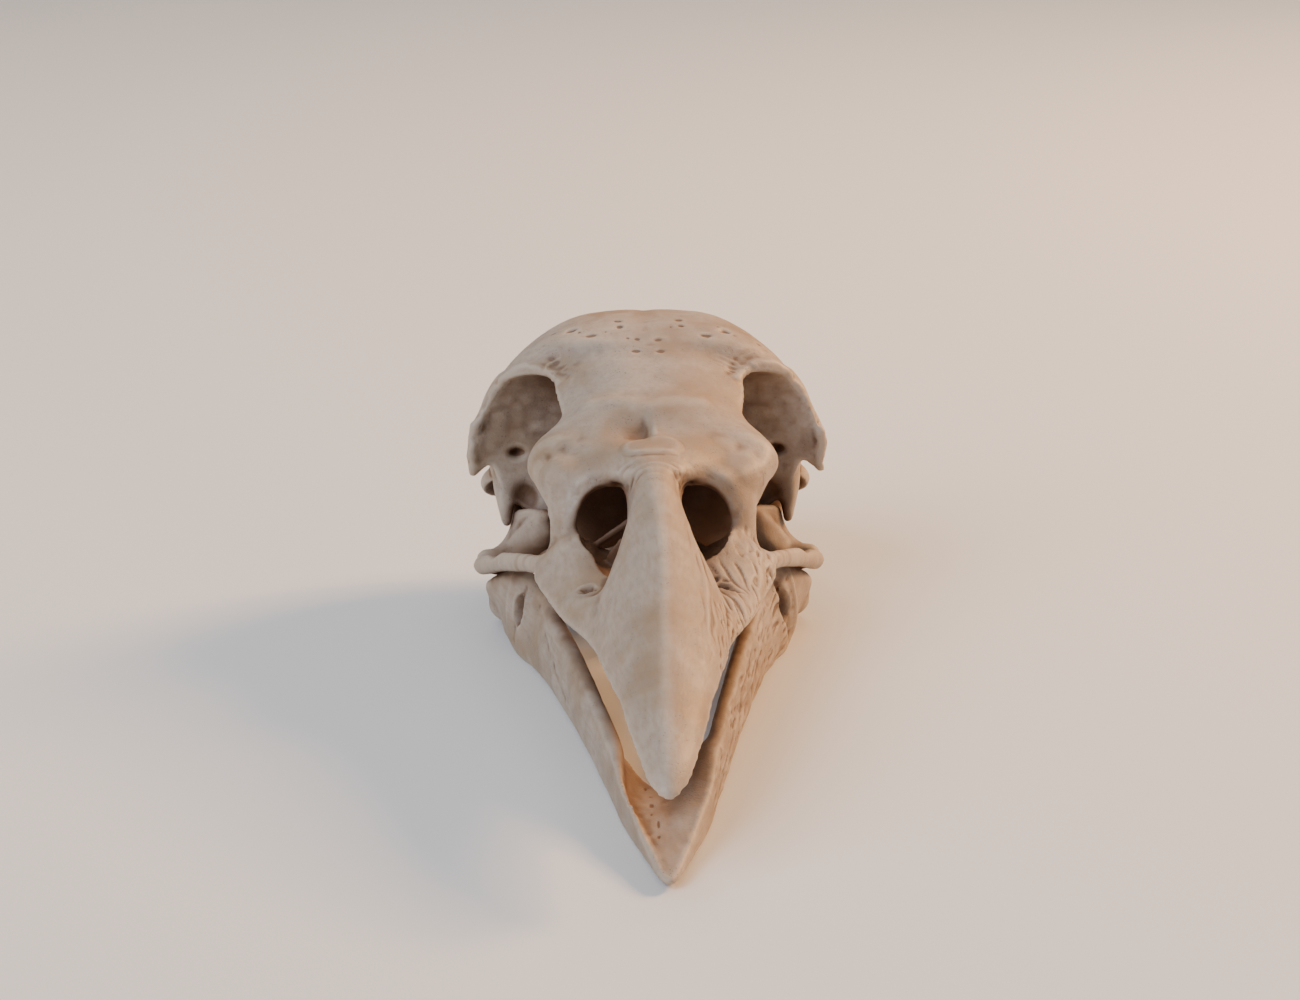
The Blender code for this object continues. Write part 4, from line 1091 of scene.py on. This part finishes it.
def model_pterygoid(size, name, side):
    """Short rod from the quadrate to the palate."""
    shells = [add_tube(side, [(14.2, -0.2, 2.2, 1.3, 1.2), (12.4, -2.2, 3.2, 0.85, 2.0),
                              (9.8, -4.4, 4.0, 0.75, 1.9), (7.4, -6.5, 4.7, 0.8, 1.2),
                              (5.2, -8.4, 5.2, 1.05, 1.1)])]
    pterygoid = merge(name, shells, size.detail, 3)
    clay = Clay(pterygoid)
    clay.rough(1.6, 0.06, 105)
    clay.settle()
    return pterygoid


def model_palatine(size, name, side):
    """Long plate of the palate, broad at the back."""
    shells = [add_tube(side, [(4.2, -9.4, 5.5, 1.6, 0.8), (5.2, -13.0, 5.4, 3.2, 0.75),
                              (5.6, -17.0, 6.0, 2.4, 0.75), (5.4, -22.0, 7.2, 1.4, 0.75),
                              (5.2, -25.5, 8.0, 1.4, 0.75)])]
    palatine = merge(name, shells, size.detail, 3)
    clay = Clay(palatine, side)
    below = clay.normals[:, 2] < -0.3
    clay.height -= 0.25 * below * clay.near((5.4, -14.5, 5.0), (1.8, 5.0, 3.0))
    clay.rough(1.8, 0.06, 107)
    clay.settle()
    return palatine


# ------ materials

def blurred(values, edges, rounds):
    """Values at a mesh's points, each evened out with its neighbours a number of times."""
    count = len(values)
    links = np.bincount(edges.ravel(), minlength=count)[:, None] + 1.0
    values = values.reshape(count, -1).astype(float)
    for _ in range(rounds):
        total = values.copy()
        for column in range(values.shape[1]):
            total[:, column] += np.bincount(edges[:, 0], values[edges[:, 1], column], count)
            total[:, column] += np.bincount(edges[:, 1], values[edges[:, 0], column], count)
        values = total / links
    return values


def write_painted_shade_and_wear(bones, cuts):
    """Note on every point how enclosed it is, and whether it lies in a pit (under 0.5) or on an edge: both
    set painted shade, and edges are worn chalky.

    The edges of the saw cuts count as neither. A cut lies square to y at a place, beyond a distance from the
    middle."""
    corners, faces = [], []
    for obj in bones:
        start = len(corners)
        corners += [tuple(v.co) for v in obj.data.vertices]
        faces += [tuple(start + i for i in face.vertices) for face in obj.data.polygons]
    tree = BVHTree.FromPolygons(corners, faces)
    # directions spread evenly over a ball by the golden angle
    share = (np.arange(RAYS) + 0.5) / RAYS
    turn = math.pi * (1 + math.sqrt(5)) * np.arange(RAYS)
    radius = np.sqrt(1 - (2 * share - 1) ** 2)
    rays = ring(np.cos(turn) * radius, np.sin(turn) * radius, 2 * share - 1)
    for obj in bones:
        clay = Clay(obj)
        edges = np.empty(len(obj.data.edges) * 2, dtype=np.int32)
        obj.data.edges.foreach_get("vertices", edges)
        edges = edges.reshape(-1, 2)
        known = np.zeros(len(clay.points))
        shade = np.zeros(len(clay.points))
        for i in range(0, len(clay.points), SAMPLE_STEP):
            normal = clay.normals[i]
            start = Vector((clay.points[i] + normal * RAY_START) * MM)
            sky = [Vector(ray) for ray in rays if ray @ normal > RAY_COSINE]
            shade[i] = sum(tree.ray_cast(start, ray, REACH)[0] is not None for ray in sky) / len(sky)
            known[i] = 1.0
        spread = blurred(np.stack([shade, known], axis=1), edges, SHADE_ROUNDS)
        shade = spread[:, 0] / np.maximum(spread[:, 1], 1e-6)
        dip = ((blurred(clay.points, edges, SURFACE_ROUNDS) - clay.points) * clay.normals).sum(axis=1)
        for cut, beyond in cuts:
            sawn = np.exp(-((clay.points[:, 1] - cut) / SAW_WIDTH) ** 4)
            dip *= 1 - sawn * (np.abs(clay.points[:, 0]) > beyond)
        for name, values in (("hollow", shade), ("relief", np.clip(0.5 - dip / RELIEF_RANGE, 0, 1))):
            note = obj.data.attributes.new(name, 'FLOAT', 'POINT')
            note.data.foreach_set("value", values.astype(np.float32))


def add_node(tree, kind, settings=None, inputs=None):
    """Add a node, set its properties, and give its sockets values or the outputs they read."""
    node = tree.nodes.new(kind)
    for name, value in (settings or {}).items():
        setattr(node, name, value)
    for name, value in (inputs or {}).items():
        if isinstance(value, bpy.types.NodeSocket):
            tree.links.new(value, node.inputs[name])
        else:
            node.inputs[name].default_value = value
    return node


def dry_bone(name, look, stretch, strength):
    """Dry bone, boiled clean and aged: matt and chalky where it stands out, with painted brown shade in its
    hollows and pits, fine pores all over, and fibres with the given stretch along each axis and strength."""
    material = bpy.data.materials.new(name)
    material.use_nodes = True
    tree = material.node_tree
    shader = tree.nodes["Principled BSDF"]
    place = add_node(tree, 'ShaderNodeTexCoord').outputs["Object"]

    def noise_of(size_mm, detail, coordinates=place):
        return add_node(tree, 'ShaderNodeTexNoise', inputs={
            "Vector": coordinates, "Scale": 1.0 / (size_mm * MM), "Detail": detail}).outputs["Fac"]

    def ramp(value, low, high, smallest=0.0, largest=1.0):
        return add_node(tree, 'ShaderNodeMapRange', {"clamp": True}, {
            "Value": value, "From Min": low, "From Max": high, "To Min": smallest,
            "To Max": largest}).outputs["Result"]

    def maths(kind, *values):
        return add_node(tree, 'ShaderNodeMath', {"operation": kind}, dict(enumerate(values))).outputs[0]

    def mix(share, below, above):
        # of a Mix node's sockets, 6 and 7 take its colours and 2 gives the mixed one
        return add_node(tree, 'ShaderNodeMix', {"data_type": 'RGBA'}, {
            0: share, 6: below, 7: above}).outputs[2]

    def reading(name):
        return add_node(tree, 'ShaderNodeAttribute', {"attribute_name": name}).outputs["Fac"]

    fibres = add_node(tree, 'ShaderNodeMapping', {"vector_type": 'TEXTURE'},
                      {"Vector": place, "Scale": stretch}).outputs["Vector"]
    shade, relief = reading("hollow"), reading("relief")
    patches = noise_of(PATCH, 3.0)
    mottle = noise_of(MOTTLE, 4.0)
    streaks = noise_of(STREAK, 2.0, fibres)
    pores = add_node(tree, 'ShaderNodeTexVoronoi', inputs={
        "Vector": place, "Scale": 1.0 / (PORE * MM)}).outputs["Distance"]
    porous = maths('MULTIPLY', ramp(pores, 0.26, 0.1), ramp(mottle, 0.5, 0.66))

    colour = mix(ramp(patches, 0.4, 0.62), look.pale, look.warm)
    colour = mix(maths('MULTIPLY', ramp(mottle, 0.45, 0.7), 0.4), colour, look.grey)
    colour = mix(ramp(streaks, 0.42, 0.7, 0.0, strength), colour, look.warm)
    worn = maths('MULTIPLY', ramp(relief, 0.58, 0.9, 0.0, 0.5), ramp(shade, 0.5, 0.2))
    colour = mix(worn, colour, look.chalk)
    # painted shade in pits and grooves: the deep colour, stronger the more the surface dips
    colour = mix(ramp(relief, 0.46, 0.2, 0.0, 0.75), colour, look.deep)
    # painted shade in hollows: the deep colour, stronger the more enclosed a point is, broken up by the
    # random patches
    stain_and_painted_shade = maths('MULTIPLY_ADD', patches, 0.25, maths('SUBTRACT', shade, 0.12))
    colour = mix(ramp(stain_and_painted_shade, 0.17, 0.62, 0.0, 0.95), colour, look.deep)
    colour = mix(maths('MULTIPLY', porous, 0.65), colour, look.deep)
    tree.links.new(colour, shader.inputs["Base Color"])
    tree.links.new(ramp(maths('ADD', mottle, shade), 0.4, 1.3, 0.5, 0.72), shader.inputs["Roughness"])
    height = maths('MULTIPLY_ADD', porous, -0.7,
                   maths('MULTIPLY_ADD', streaks, strength, noise_of(GRAIN, 2.0)))
    bump = add_node(tree, 'ShaderNodeBump', inputs={"Strength": 0.5, "Distance": BUMP * MM, "Height": height})
    tree.links.new(bump.outputs["Normal"], shader.inputs["Normal"])
    shader.inputs["Subsurface Weight"].default_value = 0.1
    shader.inputs["Subsurface Radius"].default_value = (1.0, 0.55, 0.3)
    shader.inputs["Subsurface Scale"].default_value = 1.0 * MM
    return material


# ------ operators

def hand_over(context, obj, node, finish, fibres):
    """Put a finished bone where its solid stands, and let it stand for that solid."""
    if not obj.data.polygons:
        raise RuntimeError("no surface was left on " + node)
    sizes = context.scene.skull_sizes
    obj.location = (0, sizes.joint_back, sizes.joint_height)
    select_only(obj)
    bpy.ops.object.transform_apply()
    bpy.ops.object.shade_smooth_by_angle(angle=math.radians(SMOOTH_ANGLE))
    obj.name = obj.data.name = node + "_bone"
    obj.data.materials.clear()
    obj.data.materials.append(dry_bone("dry_bone_" + finish, context.scene.bone_look, *fibres))
    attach(obj, "root")
    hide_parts(node)


class SKULL_OT_head(bpy.types.Operator):
    """Cranium, upper bill and jugal rods, modelled in one and parted where they meet"""
    bl_idname = "skull.head"
    bl_label = "Cranium, bill and jugals"

    def execute(self, context):
        size = lengths(context)
        head = model_head(size)
        sculpt_head(head)
        for side, word in SIDES.items():
            node = "jugal_" + word
            low, high = sorted((side * 13.2, side * 26.0))
            jugal = part_off(head, node, (low, size.jugal_root, 0.5), (high, 1.6, 10.6))
            hand_over(context, jugal, node, node, JUGAL_FIBRES)
        bill = part_off(head, "upper_bill", (-30, -90, -10), (30, size.hinge, 45))
        hand_over(context, bill, "upper_bill", "bill", BILL_FIBRES)
        # nearly all its faces have four corners, and make two triangles each
        finish_with(head, 'DECIMATE', ratio=min(1.0, MOST_TRIANGLES / (2 * len(head.data.polygons))))
        hand_over(context, head, "cranium", "braincase", PLAIN_FIBRES)
        return {'FINISHED'}


class SKULL_OT_jaw(bpy.types.Operator):
    """Lower jaw, resting on small flats"""
    bl_idname = "skull.jaw"
    bl_label = "Lower jaw"

    def execute(self, context):
        size = lengths(context)
        jaw = model_jaw(size)
        sculpt_jaw(jaw)
        # whatever would reach under the table
        carve(jaw, add_block((-40, -90, -20), (40, 40, -size.joint_height)))
        hand_over(context, jaw, "mandible", "jaw", JAW_FIBRES)
        return {'FINISHED'}


class SKULL_OT_small_bones(bpy.types.Operator):
    """Quadrates, pterygoids and palatines, a left and a right one of each"""
    bl_idname = "skull.small_bones"
    bl_label = "Quadrates and palate"

    def execute(self, context):
        size = lengths(context)
        for side, word in SIDES.items():
            for kind, model in (("quadrate", model_quadrate), ("pterygoid", model_pterygoid),
                                ("palatine", model_palatine)):
                node = kind + "_" + word
                hand_over(context, model(size, node, side), node, node, PLAIN_FIBRES)
        return {'FINISHED'}


class SKULL_OT_painted_shade_and_wear(bpy.types.Operator):
    """Painted shade in the hollows and pits, wear on the edges"""
    bl_idname = "skull.patina"
    bl_label = "Patina"

    def execute(self, context):
        size = lengths(context)
        # the cut at the bend line runs right across, and those of the jugals lie beyond 13 mm
        write_painted_shade_and_wear([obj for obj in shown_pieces() if obj.name.endswith("_bone")],
                     [(size.joint_back + size.hinge, 0.0), (size.joint_back + size.jugal_root, 13.0)])
        return {'FINISHED'}


class SKULL_OT_stage(bpy.types.Operator):
    """Pale table, soft lamps and the camera"""
    bl_idname = "skull.stage"
    bl_label = "Table, lamps and camera"

    def execute(self, context):
        look = context.scene.stage_look
        table = add(bpy.ops.mesh.primitive_plane_add, size=TABLE_WIDTH)
        table.name = "table"
        paint = bpy.data.materials.new("matt_table_paint")
        paint.use_nodes = True
        # matt wall paint: no clear highlight, only the lamps' soft fall-off
        shader = paint.node_tree.nodes["Principled BSDF"]
        shader.inputs["Base Color"].default_value = look.table
        shader.inputs["Roughness"].default_value = 0.9
        table.data.materials.append(paint)
        table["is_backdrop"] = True
        for lamp in LAMPS:
            add_lamp(*lamp)
        world = bpy.data.worlds.new("studio")
        world.use_nodes = True
        sky = world.node_tree.nodes["Background"]
        sky.inputs["Color"].default_value = from_hex(SKY_COLOUR)
        sky.inputs["Strength"].default_value = SKY_STRENGTH
        context.scene.world = world
        add_camera(look, lengths(context))
        return {'FINISHED'}


def add_lamp(name, place, width, power_w, colour):
    """Square soft lamp that faces the skull."""
    ahead = Vector(LAMP_AIM) - Vector(place)
    lamp = add(bpy.ops.object.light_add, type='AREA', location=place,
               rotation=ahead.to_track_quat('-Z', 'Y').to_euler())
    lamp.name = name
    lamp.data.size = width
    lamp.data.energy = power_w
    lamp.data.color = from_hex(colour)[:3]


def add_camera(look, size):
    """Camera in front of the bill, a little above it and to its left."""
    rise, swing = look.camera_height, look.camera_side
    ahead = Vector((math.sin(swing) * math.cos(rise), math.cos(swing) * math.cos(rise), -math.sin(rise)))
    right = Vector((math.cos(swing), -math.sin(swing), 0.0))
    up = right.cross(ahead)
    x, y, z = CAMERA_AIM
    aim = Vector((x, size.joint_back + y, size.joint_height + z)) * MM
    turn = Matrix((right, up, -ahead)).transposed() @ Matrix.Rotation(look.camera_roll, 3, 'Z')
    camera = add(bpy.ops.object.camera_add, location=aim - ahead * look.camera_distance,
                 rotation=turn.to_euler())
    camera.data.lens = look.lens
    camera.data.clip_start = NEAREST_SEEN
    bpy.context.scene.camera = camera


class SKULL_PT_panel(bpy.types.Panel):
    """Sizes, looks and the steps that build the skull"""
    bl_idname = "SKULL_PT_panel"
    bl_label = "Raven skull"
    bl_space_type = 'VIEW_3D'
    bl_region_type = 'UI'
    bl_category = "Skull"

    def draw(self, context):
        for group, kind in ((context.scene.skull_sizes, SkullSizes), (context.scene.bone_look, BoneLook),
                            (context.scene.stage_look, StageLook)):
            box = self.layout.box()
            for name in kind.__annotations__:
                box.prop(group, name)
        for step in STEPS:
            self.layout.operator(step.bl_idname)


STEPS = (SKULL_OT_head, SKULL_OT_jaw, SKULL_OT_small_bones, SKULL_OT_painted_shade_and_wear, SKULL_OT_stage)
CLASSES = (SkullSizes, BoneLook, StageLook) + STEPS + (SKULL_PT_panel,)


def register():
    for kind in CLASSES:
        bpy.utils.register_class(kind)
    bpy.types.Scene.skull_sizes = PointerProperty(type=SkullSizes)
    bpy.types.Scene.bone_look = PointerProperty(type=BoneLook)
    bpy.types.Scene.stage_look = PointerProperty(type=StageLook)


def unregister():
    del bpy.types.Scene.stage_look
    del bpy.types.Scene.bone_look
    del bpy.types.Scene.skull_sizes
    for kind in reversed(CLASSES):
        bpy.utils.unregister_class(kind)


def main():
    register()
    bpy.ops.skull.head()
    bpy.ops.skull.jaw()
    bpy.ops.skull.small_bones()
    bpy.ops.skull.patina()
    bpy.ops.skull.stage()


if __name__ == "__main__":
    main()
